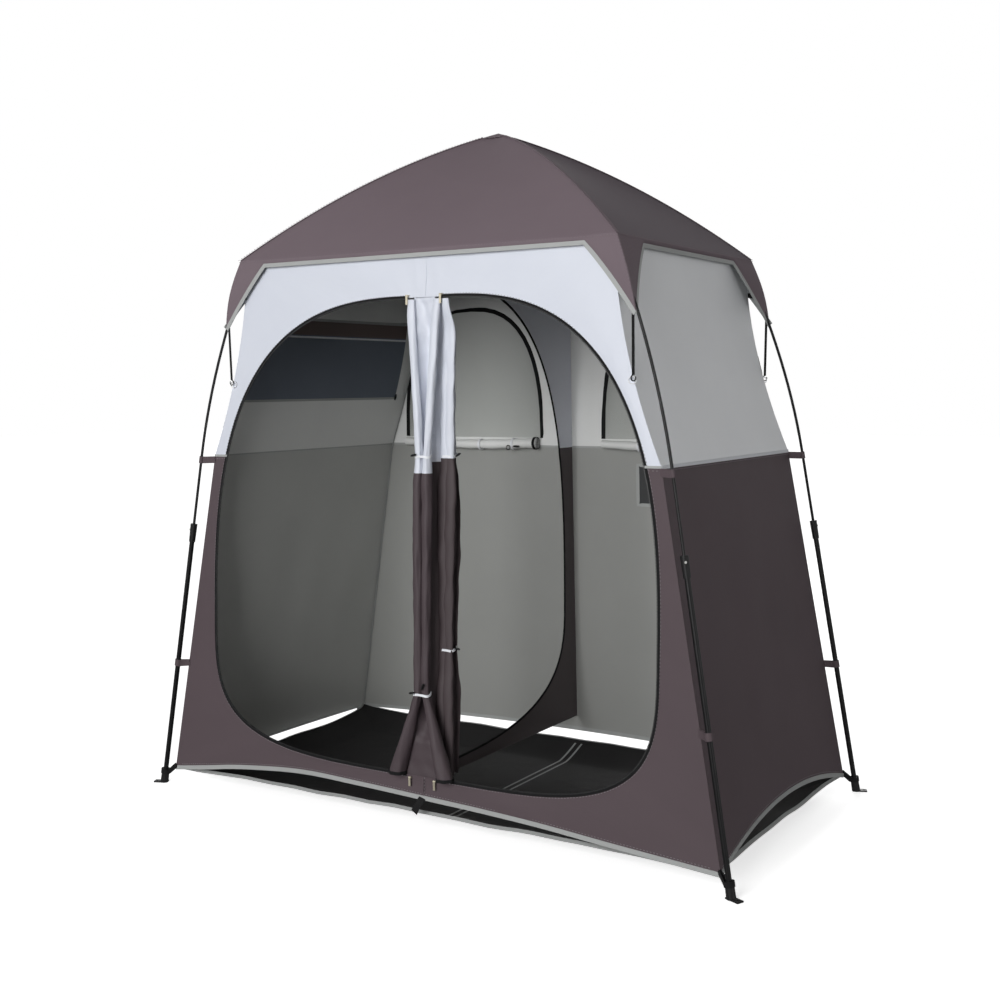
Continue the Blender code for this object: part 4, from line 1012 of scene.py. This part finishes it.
def rollPoint(sign, z, u):
    # A place on a rolled door: u runs from the core to the edge that is sewn to the strip
    wide, deep = stopsAt(rolls["width"], z), stopsAt(rolls["depth"], z)
    a = radians(rolls["seat"]) - 2 * pi * rolls["turns"] * (1 - u)
    rough = noiseAt(cos(a) * 1.3 + 7 * sign, sin(a) * 1.3, z * 9)
    rough += rolls["fineRough"] * noiseAt(cos(a) * 2.5, sin(a) * 2.5 + 5 * sign, z * 23)
    pleats = rolls["pinch"] * pinchAt(rolls["ties"], z) * cos(7 * a)
    size = mix(rolls["core"], 1, u) * (1 + rolls["rough"] * rough + pleats)
    x = rolls["x"] + sign * (stopsAt(rolls["apart"], z, True) - wide * size * cos(a))
    return Vector((x, -bodyY(z) - rolls["sunk"] * deep + deep * size * sin(a), z))


def rollRim(sign, z, count):
    # The outermost turn of a rolled door at one level
    return [rollPoint(sign, z, 1 - k / count / rolls["turns"]) for k in range(count)]


def stripPoint(z, u):
    # The strip between the rolls: flat at its ends, folded in behind them at the ties
    left, right = rollPoint(-1, z, 1), rollPoint(1, z, 1)
    gap = (right - left).length
    slack = sqrt(max(0, rolls["strip"] ** 2 - gap**2)) * rolls["slack"]
    at = left.lerp(right, u)
    at.y += slack * sin(pi * u)
    crease = noiseAt(u * 2.2 + z * 9, z * 21, 3) * min(1, 14 * u, 14 * (1 - u))
    at.y += rolls["crease"] * crease * min(1, gap / 0.05)
    under = door["top"] - z
    gathers = exp(-max(0, under) / rolls["gathersReach"]) * min(1, 8 * u, 8 * (1 - u))
    at.y -= rolls["gathers"] * gathers * sin(under * rolls["gathersPitch"] + 3 * noiseAt(u * 3, 0, 2))
    return at


def foldTurn(share):
    # The swing of a folded strip whose width is a share of its length
    low, high = 0.0, 2.3
    for _ in range(24):
        middle = (low + high) / 2
        total = sum(cos(middle * sin(2 * pi * (k + 0.5) / 24)) for k in range(24)) / 24
        low, high = (middle, high) if total > share else (low, middle)
    return low


def curtainRow(z):
    # One level of the gathered door: a strip as long as the cloth is wide, laid in waves
    width, depth = stopsAt(curtain["width"], z), stopsAt(curtain["depth"], z)
    swing = foldTurn(min(0.98, width / curtain["cloth"]))
    count, run, x, y = curtain["columns"], [], 0.0, 0.0
    step = curtain["cloth"] / count
    for k in range(count + 1):
        run.append((x, y))
        angle = swing * sin(2 * pi * curtain["waves"] * (k + 0.5) / count + pi + 0.3 * sin(3 * z))
        x += step * cos(angle)
        y += step * sin(angle)
    (lowX, highX), (lowY, highY) = ((min(p[i] for p in run), max(p[i] for p in run)) for i in (0, 1))
    fit = width / max(1e-6, highX - lowX)
    x0, y0 = stopsAt(curtain["x"], z), -bodyY(z) + stopsAt(curtain["inset"], z)
    row = []
    for k, (a, b) in enumerate(run):
        crease = curtain["crease"] * noiseAt(k / count * 14, z * 15, 9)
        row.append(Vector((x0 + (a - (highX + lowX) / 2) * fit + crease,
                           y0 + (b - (highY + lowY) / 2) * depth + crease, z)))
    return row


def splitCoat(split):
    return lambda at: 0 if at.z > split else 1


doorCoats = ("silver", "doorTaupe", "silver", "doorTaupe")
# below its split the gathered door takes the darker copy of the door cloth, as painted shade
curtainCoats = ("silver", "curtainTaupePaintedShade", "silver", "curtainTaupePaintedShade")
doorOut = (0, -1, 0)


def makeRolls():
    coatOf = splitCoat(rolls["split"])
    for sign, side in ((-1, "left"), (1, "right")):
        bm = gridMesh(168, 100, lambda u, v: rollPoint(sign, mix(doorHigh, doorLow, v), u), None, coatOf)
        hang(side + "Door", bm, doorCoats, "doors", "door_cloth", (side + "_door",), "folded",
             thickness=0.0006, angle=70, flat=rolls["flat"])
        # Zip tape on the free edge, and round the open end of the roll
        free = [rollPoint(sign, z, 0) for z in steps(doorHigh, doorLow, 60)]
        tape(side + "DoorZip", free, doorOut, *rolls["zip"], "webbing", "doors", "webbing")
        ring = rollRim(sign, doorLow + 0.003, 36)
        middle = sum(ring, Vector()) / len(ring)
        ring = [middle + (p - middle) * 1.06 for p in ring]
        tape(side + "DoorZipEnd", ring, lambda i: ring[i] - middle, *rolls["endZip"], "webbing", "doors",
             "webbing", closed=True)
    high, low = door["top"] + 0.003, door["sill"] - 0.003
    bm = gridMesh(24, 160, lambda u, v: stripPoint(mix(high, low, v), u), doorOut, coatOf)
    hang("middleStrip", bm, doorCoats, "doors", "door_cloth", (), "gathered",
         thickness=0.0009, angle=70, flat=rolls["stripFlat"])


def makeCurtain():
    columns, rows, coatOf = curtain["columns"], 100, splitCoat(curtain["split"])
    levels = [curtainRow(z) for z in steps(doorHigh, doorLow, rows)]
    bm = gridMesh(columns, rows, lambda u, v: levels[round(v * rows)][round(u * columns)], None, coatOf)
    hang("dividerDoor", bm, curtainCoats, "doors", "door_cloth", ("divider_door",), "gathered",
         thickness=0.0009, angle=70, flat=curtain["flat"])

    def join(u, v):
        # The strip that sews it to the front wall's strip
        z = mix(doorHigh, doorLow, v)
        start = stripPoint(z, 0.9) + Vector((0, curtain["joinBehind"], 0))
        endX = stopsAt(curtain["x"], z) - 0.4 * stopsAt(curtain["width"], z)
        end = Vector((endX, -bodyY(z) + stopsAt(curtain["inset"], z), z))
        return start.lerp(end, u) + Vector((0, curtain["joinCrease"] * noiseAt(u * 2, z * 6, 5), 0))

    hang("dividerStrip", gridMesh(8, 80, join, doorOut, coatOf), curtainCoats, "doors", "door_cloth", (),
         "hung", thickness=0.0009, flat=curtain["stripFlat"])


toggle = {"half": 0.010, "radius": 0.0040, "waist": 0.25}
tie = {
    "size": (0.007, 0.0014), "slack": 0.0015, "power": 0.8, "wave": 0.002,
    "tilt": 0.003, "curtainTilt": 0.004,
}


def makeToggle(name, at, heading):
    heading = Vector(heading).normalized() * toggle["half"]
    run = [at + heading * t for t in steps(-1, 1, 8)]
    fitting(name, run, barrel(toggle["radius"], toggle["waist"]), "doors", around=10)


def makeTie(name, outline, tilt):
    # A tape drawn round a bundle, just outside its outline at that level
    middle = sum(outline, Vector()) / len(outline)
    rx = max(abs(p.x - middle.x) for p in outline) + tie["slack"]
    ry = max(abs(p.y - middle.y) for p in outline) + tie["slack"]
    ring = []
    for a in circle(44):
        x, y = (copysign(abs(c) ** tie["power"], c) for c in (cos(a), sin(a)))
        ring.append(middle + Vector((rx * x, ry * y, tilt * sin(a) + tie["wave"] * sin(3 * a))))
    tape(name, ring, lambda i: ring[i] - middle - up * (ring[i].z - middle.z), *tie["size"], "whiteTape",
         "doors", "door_cloth", closed=True)
    return middle, rx, ry


def makeTies():
    for i, z in enumerate(rolls["ties"]):
        middle, rx, ry = makeTie(f"doorTie.{i}", rollRim(-1, z, 24) + rollRim(1, z, 24), tie["tilt"])
        makeToggle(f"doorToggle.{i}", middle + Vector((-rx * 0.86, -ry - 0.003, 0.003)), (1, -0.2, 0.25))
    makeToggle("doorToggle.2", middle + Vector((rx * 0.5, -ry - 0.003, 0.026)), (0.4, -0.1, 1))
    for i, z in enumerate(curtain["ties"]):
        middle, rx, ry = makeTie(f"curtainTie.{i}", curtainRow(z), tie["curtainTilt"])
        makeToggle(f"curtainToggle.{i}", middle + Vector((rx + 0.006, 0, 0.002)), (1, 0.1, 0.5 - 0.6 * i))


makeRolls()
makeCurtain()
makeTies()
print("doors made")

# Divider across the middle, with the way between the rooms
divider = {
    "front": 0.055, "strip": 0.022, "top": 1.700, "hem": 0.130, "back": 0.426, "gap": 0.004, "lap": 0.001,
    "wayTop": 1.672, "sill": 0.165, "waist": 0.570, "power": 3.0, "piping": (0.007, 0.003),
}


def wayY(z):
    start = -(hemY if z < seamZ else seamY) + divider["front"] + divider["strip"]
    height = (divider[key] for key in ("waist", "wayTop", "sill"))
    return roundEdge(z, *height, start, divider["back"], divider["power"], divider["power"])


def dividerSheet(part, inner, outer, seed, coat):
    def sheet(u, v):
        at = inner(u).lerp(outer(u), v)
        return Vector((swell(at.x, at.y, seed) * sin(pi * v), at.x, at.y))

    hang("divider" + part, gridMesh(80, 8, sheet, (1, 0, 0)), (coat, coat), "middle", part.lower() + "_cloth",
         ("divider_" + part.lower(),), "hung")


def makeDivider():
    top, hem, wayTop, sill = (divider[key] for key in ("top", "hem", "wayTop", "sill"))
    frontY, lowFrontY = divider["front"] - seamY, divider["front"] - hemY
    start, lowStart = frontY + divider["strip"], lowFrontY + divider["strip"]
    backY, topBackY, lowBackY = (bodyY(z) - divider["gap"] for z in (seamZ, top, hem))
    underSeam = seamZ - divider["lap"]
    arc = [(wayY(z), z) for z in (mix(seamZ, wayTop, sin(t)) for t in steps(0, pi / 2, 30))]
    arc[-1] = (start, wayTop)
    inner = joinedLine((0.3, [(start, seamZ), (start, wayTop)]), (0.7, arc[::-1]))
    head = [(frontY, top), (topBackY, top)]
    outer = joinedLine((0.3, [(frontY, seamZ), head[0]]), (0.4, head), (0.3, [head[1], (backY, seamZ)]))
    dividerSheet("Upper", inner, outer, 8, "dividerPale")
    lowArc = [(wayY(z), z) for z in (mix(sill, underSeam, 1 - cos(t)) for t in steps(0, pi / 2, 40))]
    lowArc[0] = (lowStart, sill)
    inner = joinedLine((0.3, [(start, underSeam), (lowStart, sill)]), (0.7, lowArc))
    foot = [(lowFrontY, hem), (lowBackY, hem)]
    outer = joinedLine((0.3, [(frontY, underSeam), foot[0]]), (0.3, foot),
                       (0.4, [foot[1], (backY, underSeam)]))
    dividerSheet("Lower", inner, outer, 9, "dividerDark")
    around = joinedLine((0.2, [(lowStart, sill), (start, seamZ)]), (0.1, [(start, seamZ), (start, wayTop)]),
                        (0.3, arc[::-1]), (0.4, lowArc[::-1]))
    piping = [(0, p.x, p.y) for p in sample(around, 160)[:-1]]
    tape("wayPiping", piping, (1, 0, 0), *divider["piping"], "webbing", "middle", "webbing", closed=True)


makeDivider()
print("divider made")

# Floor mat: a shallow tray whose edge waves between the corners that hold it
mat = {
    "inset": 0.034, "rim": 0.046, "sideRim": 0.034, "rimWidth": 0.15, "point": 6, "rise": 1.3, "base": 0.0028,
    "lift": 0.004, "gap": 0.003, "wave": 0.008, "ripple": 0.0016, "seams": (0.020, 0.046),
    "seamSize": (0.007, 0.0016), "binding": (0.011, 0.003),
}


def makeMat():
    cornerZ = hemZ + mat["lift"]
    reachX, reachY = bodyX(cornerZ) - mat["gap"], bodyY(cornerZ) - mat["gap"]

    def tray(u, v):
        a, b = mix(-1, 1, u), mix(-1, 1, v)
        x = a * (reachX - mat["inset"] * (1 - b ** mat["point"]))
        y = b * (reachY - mat["inset"] * (1 - a ** mat["point"]))
        edge = min((1 - abs(a)) * reachX, (1 - abs(b)) * reachY)
        rise = max(0, 1 - edge / mat["rimWidth"]) ** mat["rise"]
        wave = mat["wave"] * noiseAt(x * 6, y * 6, 2)
        ripple = mat["ripple"] * max(0, noiseAt(x * 5, y * 5, 7))
        rim = mix(mat["rim"], mat["sideRim"], a**8) + wave
        high = mix(rim, cornerZ - mat["lift"], (a * b) ** mat["point"])
        return Vector((x, y, mat["base"] + high * rise + ripple * (1 - rise)))

    hang("floorMat", gridMesh(96, 64, tray, up), ("mat", "mat"), "floor", "mat_sheet", ("floor_mat",), "laid",
         thickness=0.0022)
    square = [(0, 0), (1, 0), (1, 1), (0, 1), (0, 0)]
    loop = [tray(mix(a, c, i / 40), mix(b, d, i / 40))
            for (a, b), (c, d) in zip(square, square[1:]) for i in range(40)]
    tape("matBinding", loop, lambda i: Vector((loop[i].x, loop[i].y * 2, 0)).normalized() * 0.6 + up * 0.8,
         *mat["binding"], "binding", "floor", "mat_sheet", closed=True, lift=0.0004)
    # Two seams under the divider, where the halves of the mat are joined
    bm = bmesh.new()
    for x in mat["seams"]:
        run = [tray((x / reachX + 1) / 2, v) for v in steps(0.02, 0.98, 40)]
        tapeMesh(run, up, *mat["seamSize"], bm=bm)
    hang("matSeam", bm, ("binding",), "floor", "mat_sheet")


makeMat()
print("mat made")

# Bindings, seams and zips on the walls
trim = {
    "hem": (0.014, 0.0024), "seam": (0.007, 0.003), "rightSeam": (0.010, 0.003), "hemStitch": 0.012,
    "seamStitch": -0.010, "zip": (0.008, 0.0024), "tooth": (0.0034, 0.0034, 0.0022), "toothPitch": 0.004,
    "window": (0.016, 0.0026), "leftWindow": (0.014, 0.0026), "strip": (0.010, 0.0024), "toggle": 0.0042,
    "middleSeam": (0.010, 0.0012), "sillSeam": (0.007, 0.002), "piping": 0.0022, "pipingInset": 0.005,
}


def plainHem(side):
    half = hemX if side == "rear" else hemY - tuck
    return [(a * half, hemAt(side, a)) for a in steps(-1, 1, 50)]


def makeSeams():
    hems = {"front": curveThrough(frontHem, 60), **{side: plainHem(side) for side in lowerWalls}}
    for side, run in hems.items():
        run = wallRun(side, run)
        tape(side + "HemBinding", run, walls[side], *trim["hem"], "binding", side, "lower_cloth")
    for side, out in walls.items():
        half = seamX if out.x == 0 else seamY - 0.001
        spans = [(-half, half)]
        if side == "front":
            spans = [(-half, -abs(doorX(-1, seamZ))), (abs(doorX(1, seamZ)), half)]
        size, coat = (trim["rightSeam"], "whiteTape") if side == "right" else (trim["seam"], "binding")
        bm = bmesh.new()
        for span in spans:
            tapeMesh(wallRun(side, [(a, seamZ) for a in steps(*span, 12)]), out, *size, bm=bm)
        hang(side + "SeamTape", bm, (coat,), side, "lower_cloth")
        low = seamZ + trim["seamStitch"]
        runs = [wallRun(side, [(a, low) for a in steps(*span, 12)], sewn) for span in spans]
        stitch(side + "SeamStitches", runs, "thread", side, "lower_cloth")
        run = wallRun(side, [(a, z + trim["hemStitch"]) for a, z in hems[side][1:-1]], sewn)
        stitch(side + "HemStitches", [run], "thread", side, "lower_cloth")


def makeZips():
    out = walls["front"]
    for sign, tag in sides:
        run = wallRun("front", doorRun(sign, door["sill"], seamZ)[:-1] + doorRun(sign, seamZ, door["top"]))
        tape("doorZipTape" + tag, run, out, *trim["zip"], "webbing", "front", "webbing", shift=-0.002 * sign)
        # The coil is drawn 4 mm a tooth, some three times as coarse as a real one
        middle = Vector((sign * 0.4, run[0].y, 0.9))
        inward = [(middle - p).normalized() for p in run]
        edge = [p + way * 0.003 for p, way in zip(run, inward)]
        repeatAlong("doorZipTeeth" + tag, [edge], trim["toothPitch"], trim["tooth"], "teeth", "front",
                    "webbing")
        edge = [p - way * 0.008 + out * sewn for p, way in zip(run, inward)]
        stitch("doorZipStitches" + tag, [edge], "thread", "front", "upper_cloth")


def makeWindowTrim():
    for sign, tag in sides:
        run = sample(pathLine(wallRun("rear", windowArch(sign))), 120)
        tape("windowBinding" + tag, run, walls["rear"], *trim["window"], "webbing", "rear", "webbing")
    half, low, high = (leftWindow[key] for key in ("half", "low", "high"))
    loop = sample(pathLine(wallRun("left", [*leftOutline(), (-half, low)])), 120)[:-1]
    tape("leftWindowBinding", loop, walls["left"], *trim["leftWindow"], "binding", "left", "upper_cloth",
         closed=True)
    run = wallRun("left", [(a, high - 0.060) for a in steps(-half, half, 20)])
    tape("leftWindowStrip", run, walls["left"], *trim["strip"], "whiteTape", "left", "upper_cloth")
    run = wallRun("left", [(half - 0.004, low - 0.010 + 0.022 * i / 8) for i in range(9)], -0.006)
    fitting("leftWindowToggle", run, barrel(trim["toggle"]), "left", around=10)


def makeMiddleTrim():
    # The seam over the middle strip, and the one under it
    run, x = [], door["middle"]
    for t in steps(0, 1, 40)[1:]:
        z = mix(door["top"], topZ, t)
        run.append(wallPoint("front", x, z, frontSwell(x, z) * sin(pi * t) + sewn))
    tape("frontMiddleSeam", run, walls["front"], *trim["middleSeam"], "silver", "front", "upper_cloth")
    run = wallRun("front", [(x, z) for z in steps(0.114, door["sill"] - 0.004, 6)])
    tape("sillSeam", run, walls["front"], *trim["sillSeam"], "taupe", "front", "lower_cloth")
    stitch("sillStitches", [[p + Vector((0.006, -0.0006, 0)) for p in run]], "thread", "front", "lower_cloth")
    # A grey piping up each corner on the inside
    for name, (sx, sy) in corners.items():
        run = [(sx * (bodyX(z) - trim["pipingInset"]), sy * (bodyY(z) - trim["pipingInset"]), z)
               for z in steps(hemZ + 0.01, cutZ, 30)]
        putOnLeg("cornerPiping.*", name, tubeMesh(run, trim["piping"]), "piping", 40)


makeSeams()
makeZips()
makeWindowTrim()
makeMiddleTrim()
print("bindings made")

# Inside fittings: rolled window covers and the pocket
roll = {
    "radius": 0.018, "turns": 5, "half": 0.292, "core": 0.005, "taper": 0.14, "droop": 0.008, "gap": 0.006,
    "flat": (0.40, 0.60), "ring": 0.008,
}


def makeRoll(sign, tag):
    z = rearWindow["sill"] - roll["radius"]
    middle = Vector((sign * rearWindow["middle"], bodyY(z) - roll["gap"] - roll["radius"], z))

    def core(a):
        return middle + Vector((a * roll["half"], 0, -roll["droop"] * (1 - a * a)))

    def spiral(u, v):
        a = mix(-1, 1, u)
        turn = 2 * pi * roll["turns"] * v
        uneven = (0.88 + 0.12 * cos(3 * pi * a) ** 2) * (1 + roll["taper"] * a)
        size = mix(roll["core"], roll["radius"], v) * uneven
        return core(a) + Vector((0, size * sin(turn), size * cos(turn)))

    hang("windowRoll" + tag, gridMesh(24, 110, spiral), ("coating", "lowCoating"), "rearRolls", "upper_cloth",
         ("window_roll_" + tag.lower(),), "folded", thickness=0.0008, flat=roll["flat"])
    bands = (("rollTies", (-0.5, 0.17, 0.66), 0.008, "whiteTape"), ("rollEnd", (0.975,), 0.010, "webbing"))
    for label, shares, width, coat in bands:
        bm = bmesh.new()
        for share in shares:
            at, size = core(share), roll["radius"] * (1.01 + roll["taper"] * share) + 0.0014
            ring = [at + Vector((0, size * cos(a), size * sin(a))) for a in circle(24)]
            tapeMesh(ring, lambda i: ring[i] - at, width, 0.0014, closed=True, bm=bm)
        hang(label + tag, bm, (coat,), "rearRolls", "upper_cloth")
    at = core(0.62) + Vector((0, -roll["radius"] - 0.005, -0.012))
    ring = [at + Vector((roll["ring"] * cos(a), 0, roll["ring"] * sin(a))) for a in circle(16)]
    fitting("rollRing" + tag, ring, 0.0016, "rearRolls", closed=True)
    run = [core(0.70) + Vector((0.024 * i / 8, -roll["radius"] - 0.006, -0.008)) for i in range(9)]
    fitting("rollToggle" + tag, run, barrel(trim["toggle"]), "rearRolls", around=10)


pocket = {
    "left": 0.26, "right": 0.56, "low": 0.92, "high": 1.06, "gap": 0.004, "belly": 0.010,
    "edge": (0.012, 0.0022),
}


def makePocket():
    def net(u, v):
        x, z = mix(pocket["left"], pocket["right"], u), mix(pocket["low"], pocket["high"], v)
        return wallPoint("rear", x, z, -pocket["gap"] - pocket["belly"] * sin(pi * u) * v)

    hang("pocketNet", gridMesh(20, 8, net, walls["rear"]), ("pocketNet", "pocketNet"), "rear", "window_mesh",
         ("mesh_pocket",), "hung", thickness=0.0006)
    run = [net(0, 1 - i / 8) for i in range(8)] + [net(i / 20, 0) for i in range(20)]
    run += [net(1, i / 8) for i in range(8)] + [net(1 - i / 20, 1) for i in range(20)]
    tape("pocketBinding", run, walls["rear"], *pocket["edge"], "binding", "rear", "window_mesh", closed=True)


for sign, tag in sides:
    makeRoll(sign, tag)
makePocket()
print("inside fittings made")

# Loops round the legs, corner straps, canopy straps and the front tab
leg = {"low": (1.0225, 0.540, 0.051), "seam": (0.845, 0.510, 1.120), "knee": 0.29985}
# Height, the leg's radius there, width and cloth; the lowest one slants from the hem's corner to the foot
poleLoops = (
    (0.040, 0.0125, 0.016, "webbing"), (0.420, 0.008, 0.022, "taupe"),
    (1.106, 0.0045, 0.022, "taupe"), (1.630, 0.0045, 0.016, "webbing"),
)
loopFit = {
    "gap": 0.0022, "half": 0.0012, "spread": 28, "lowest": 0.062, "inset": 0.004, "off": 0.0012,
    "thick": 0.0012,
}


def legAt(name, z):
    sx, sy = corners[name]
    turn = Vector((sx, sy, 1))
    foot, low, high = (turn * Vector(p) for p in ((footX, footY, 0), leg["low"], leg["seam"]))
    if z <= high.z:
        return foot.lerp(high, z / high.z)
    # Above the seam the rod bends in to the elbow
    knee, top = high + (high - low).normalized() * leg["knee"], elbows[name]
    start, end = 0.0, 1.0
    for _ in range(30):
        t = (start + end) / 2
        at = high * (1 - t) ** 2 + knee * (2 * t * (1 - t)) + top * t**2
        start, end = (t, end) if at.z < z else (start, t)
    return at


def makeLoops():
    spread, half = radians(loopFit["spread"]), loopFit["half"]
    for name, (sx, sy) in corners.items():
        for z, radius, width, coat in poleLoops:
            middle = legAt(name, z)
            lean = (legAt(name, z + 0.01) - legAt(name, z - 0.01)).normalized()
            rootZ = max(z, loopFit["lowest"])
            rootX, rootY = bodyX(rootZ) - loopFit["inset"], bodyY(rootZ) + loopFit["off"]
            root = Vector((sx * rootX, sy * rootY, rootZ))
            heading = root - middle
            heading -= lean * heading.dot(lean)
            heading.normalize()
            side = lean.cross(heading)
            run = [middle + (heading * cos(a) + side * sin(a)) * (radius + loopFit["gap"])
                   for a in steps(spread, 2 * pi - spread, 14)]
            run = [root + side * half, *run, root - side * half]
            bm = tapeMesh(run, lambda i: lean.cross(run[min(i + 1, len(run) - 1)] - run[max(i - 1, 0)]),
                          width, loopFit["thick"])
            putOnLeg(f"poleLoop.*.{round(z * 1000)}", name, bm, coat)


strap = {
    "start": (0.7240, 0.4955, 1.552), "end": (0.7224, 0.4905, 1.366), "size": (0.008, 0.0016),
    "hook": (0.007, 0.008), "hookWire": 0.0016, "eyeZ": 1.352, "eye": (0.012, 0.010), "eyeCord": 0.0014,
    "eyeInset": 0.004, "eyeOff": 0.0022,
}


def makeCanopyStraps():
    for name, (sx, sy) in corners.items():
        start, end = (Vector((sx * x, sy * y, z)) for x, y, z in (strap["start"], strap["end"]))
        run = [start.lerp(end, t) for t in steps(0, 1, 10)]
        putOnLeg("canopyStrap.*", name, tapeMesh(run, (0, sy, 0), *strap["size"]), "webbing")
        wide, high = strap["hook"]
        ring = []
        for k in range(13):
            a = radians(90 + k * 25)
            ring.append(end + Vector((sx * wide * cos(a), 0.0, -high + high * sin(a))))
        putOnLeg("canopyHook.*", name, tubeMesh(ring, strap["hookWire"]), "plastic")
        z, (wide, high) = strap["eyeZ"], strap["eye"]
        x, y = bodyX(z) - strap["eyeInset"], sy * (bodyY(z) + strap["eyeOff"])
        eye = [Vector((sx * (x + wide * cos(a)), y, z + high * sin(a))) for a in circle(20)]
        putOnLeg("cornerLoop.*", name, tubeMesh(eye, strap["eyeCord"], closed=True), "cord")


tab = {
    "top": 0.108, "run": (-0.024, -0.012, -0.046), "bow": 0.006, "facing": (0, -1, 0.25),
    "size": (0.024, 0.0016),
}


def makeTab():
    top = wallPoint("front", door["middle"], tab["top"])
    end = top + Vector(tab["run"])
    run = [top.lerp(end, t) + Vector((0, -tab["bow"] * sin(pi * t), 0)) for t in steps(0, 1, 8)]
    bm = tapeMesh(run, tab["facing"], *tab["size"])
    hang("frontTab", bm, ("webbing",), "middle", "webbing", ("front_tab",))


makeLoops()
makeCanopyStraps()
makeTab()
print("straps made")

# Frame pieces keep their CAD shape
dressed = {
    "hub": ("plastic", "black_plastic"), "roof_pole": ("rod", "fibreglass_rod"),
    "elbow_bracket": ("plastic", "black_plastic"), "elbow_pin": ("plated", "plated_steel"),
    "upper_leg": ("rod", "fibreglass_rod"), "lower_leg": ("steel", "coated_steel"),
    "leg_lock": ("plastic", "black_plastic"), "lock_button": ("plated", "plated_steel"),
    "foot": ("plastic", "black_plastic"), "zip_pull": ("brass", "zip_brass"),
}
for node, obj in frame["nodes"].items():
    for start, (coat, slotName) in dressed.items():
        if node == start or node.startswith(start + "_"):
            obj.data.materials.clear()
            obj.data.materials.append(finish[coat])
            smooth(obj, 35)
            if start == "zip_pull":
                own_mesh(obj)
print("frame dressed")

# Stage: pale floor, a sky that is white to the camera, a broad lamp in front and three fainter round the tent
light = {
    "horizon": 0.92, "zenith": 0.02, "skyTop": 0.5, "floorGlow": 0.69, "farGlow": 1.05, "fade": 0.09,
    "floorHalf": (1.03, 0.54, 0), "floorSize": 30, "floorZ": -0.0005, "aim": (0, 0, 0.9),
}
# Place, size and power
lamps = {
    "key": ((0.2, -6.4, 2.4), 3.6, 345), "fill": ((4.6, -0.6, 0.40), 1.2, 18),
    "back": ((-2.2, 6.4, 1.8), 3.0, 210), "left": ((-5.4, 0.9, 1.0), 2.2, 60),
}


def makeFloor():
    bm = bmesh.new()
    bmesh.ops.create_grid(bm, x_segments=1, y_segments=1, size=light["floorSize"])
    floor = linkMesh("floor", bm, ())
    bm.free()
    floor.location.z = light["floorZ"]
    white, tree, inputs = makeMaterial("paleFloor", "#fafafa", 0.8, {"Emission Color": (1, 1, 1, 1)})
    # White by its own glow far out, by the light on it near the tent, where the shadow falls
    seen = addNode(tree, "ShaderNodeLightPath")
    place = addNode(tree, "ShaderNodeTexCoord").outputs["Object"]
    for operation, other in (("ABSOLUTE", None), ("SUBTRACT", light["floorHalf"]), ("MAXIMUM", (0, 0, 0))):
        values = {0: place, 1: other} if other else {0: place}
        place = addNode(tree, "ShaderNodeVectorMath", {"operation": operation}, values).outputs["Vector"]
    far = addNode(tree, "ShaderNodeVectorMath", {"operation": "LENGTH"}, {0: place})
    fade = addNode(tree, "ShaderNodeMapRange", {"interpolation_type": "SMOOTHSTEP"}, {
        "Value": far.outputs["Value"], "From Max": light["fade"]}).outputs["Result"]
    colourBetween(tree, fade, "#fafafa", "#000000", inputs["Base Color"])
    level = addNode(tree, "ShaderNodeMapRange", {}, {
        "Value": fade, "To Min": light["floorGlow"], "To Max": light["farGlow"]})
    glow = addNode(tree, "ShaderNodeMath", {"operation": "MULTIPLY"}, {
        0: seen.outputs["Is Camera Ray"], 1: level.outputs["Result"]})
    tree.links.new(glow.outputs["Value"], inputs["Emission Strength"])
    floor.data.materials.append(white)


def makeSky():
    world = bpy.data.worlds.new("studio")
    scene.world = world
    world.use_nodes = True
    tree = world.node_tree
    # Brighter round the sides than overhead, and white to the camera and in reflections
    seen = addNode(tree, "ShaderNodeLightPath")
    place = addNode(tree, "ShaderNodeTexCoord")
    height = addNode(tree, "ShaderNodeSeparateXYZ", {}, {"Vector": place.outputs["Generated"]})
    sky = addNode(tree, "ShaderNodeMapRange", {}, {
        "Value": height.outputs["Z"], "From Max": light["skyTop"],
        "To Min": light["horizon"], "To Max": light["zenith"]})
    shown = addNode(tree, "ShaderNodeMath", {"operation": "MAXIMUM"}, {
        0: seen.outputs["Is Camera Ray"], 1: seen.outputs["Is Glossy Ray"]})
    level = addNode(tree, "ShaderNodeMath", {"operation": "MAXIMUM"}, {
        0: sky.outputs["Result"], 1: shown.outputs["Value"]})
    background = tree.nodes["Background"].inputs
    tree.links.new(level.outputs["Value"], background["Strength"])
    background["Color"].default_value = (1, 1, 1, 1)


def makeLamps():
    for name, (place, size, power) in lamps.items():
        data = bpy.data.lights.new(name, "AREA")
        data.size, data.energy = size, power
        lamp = bpy.data.objects.new(name, data)
        scene.collection.objects.link(lamp)
        lamp.location = place
        lamp.rotation_euler = (Vector(light["aim"]) - Vector(place)).to_track_quat("-Z", "Y").to_euler()


makeFloor()
makeSky()
makeLamps()
print("stage made")
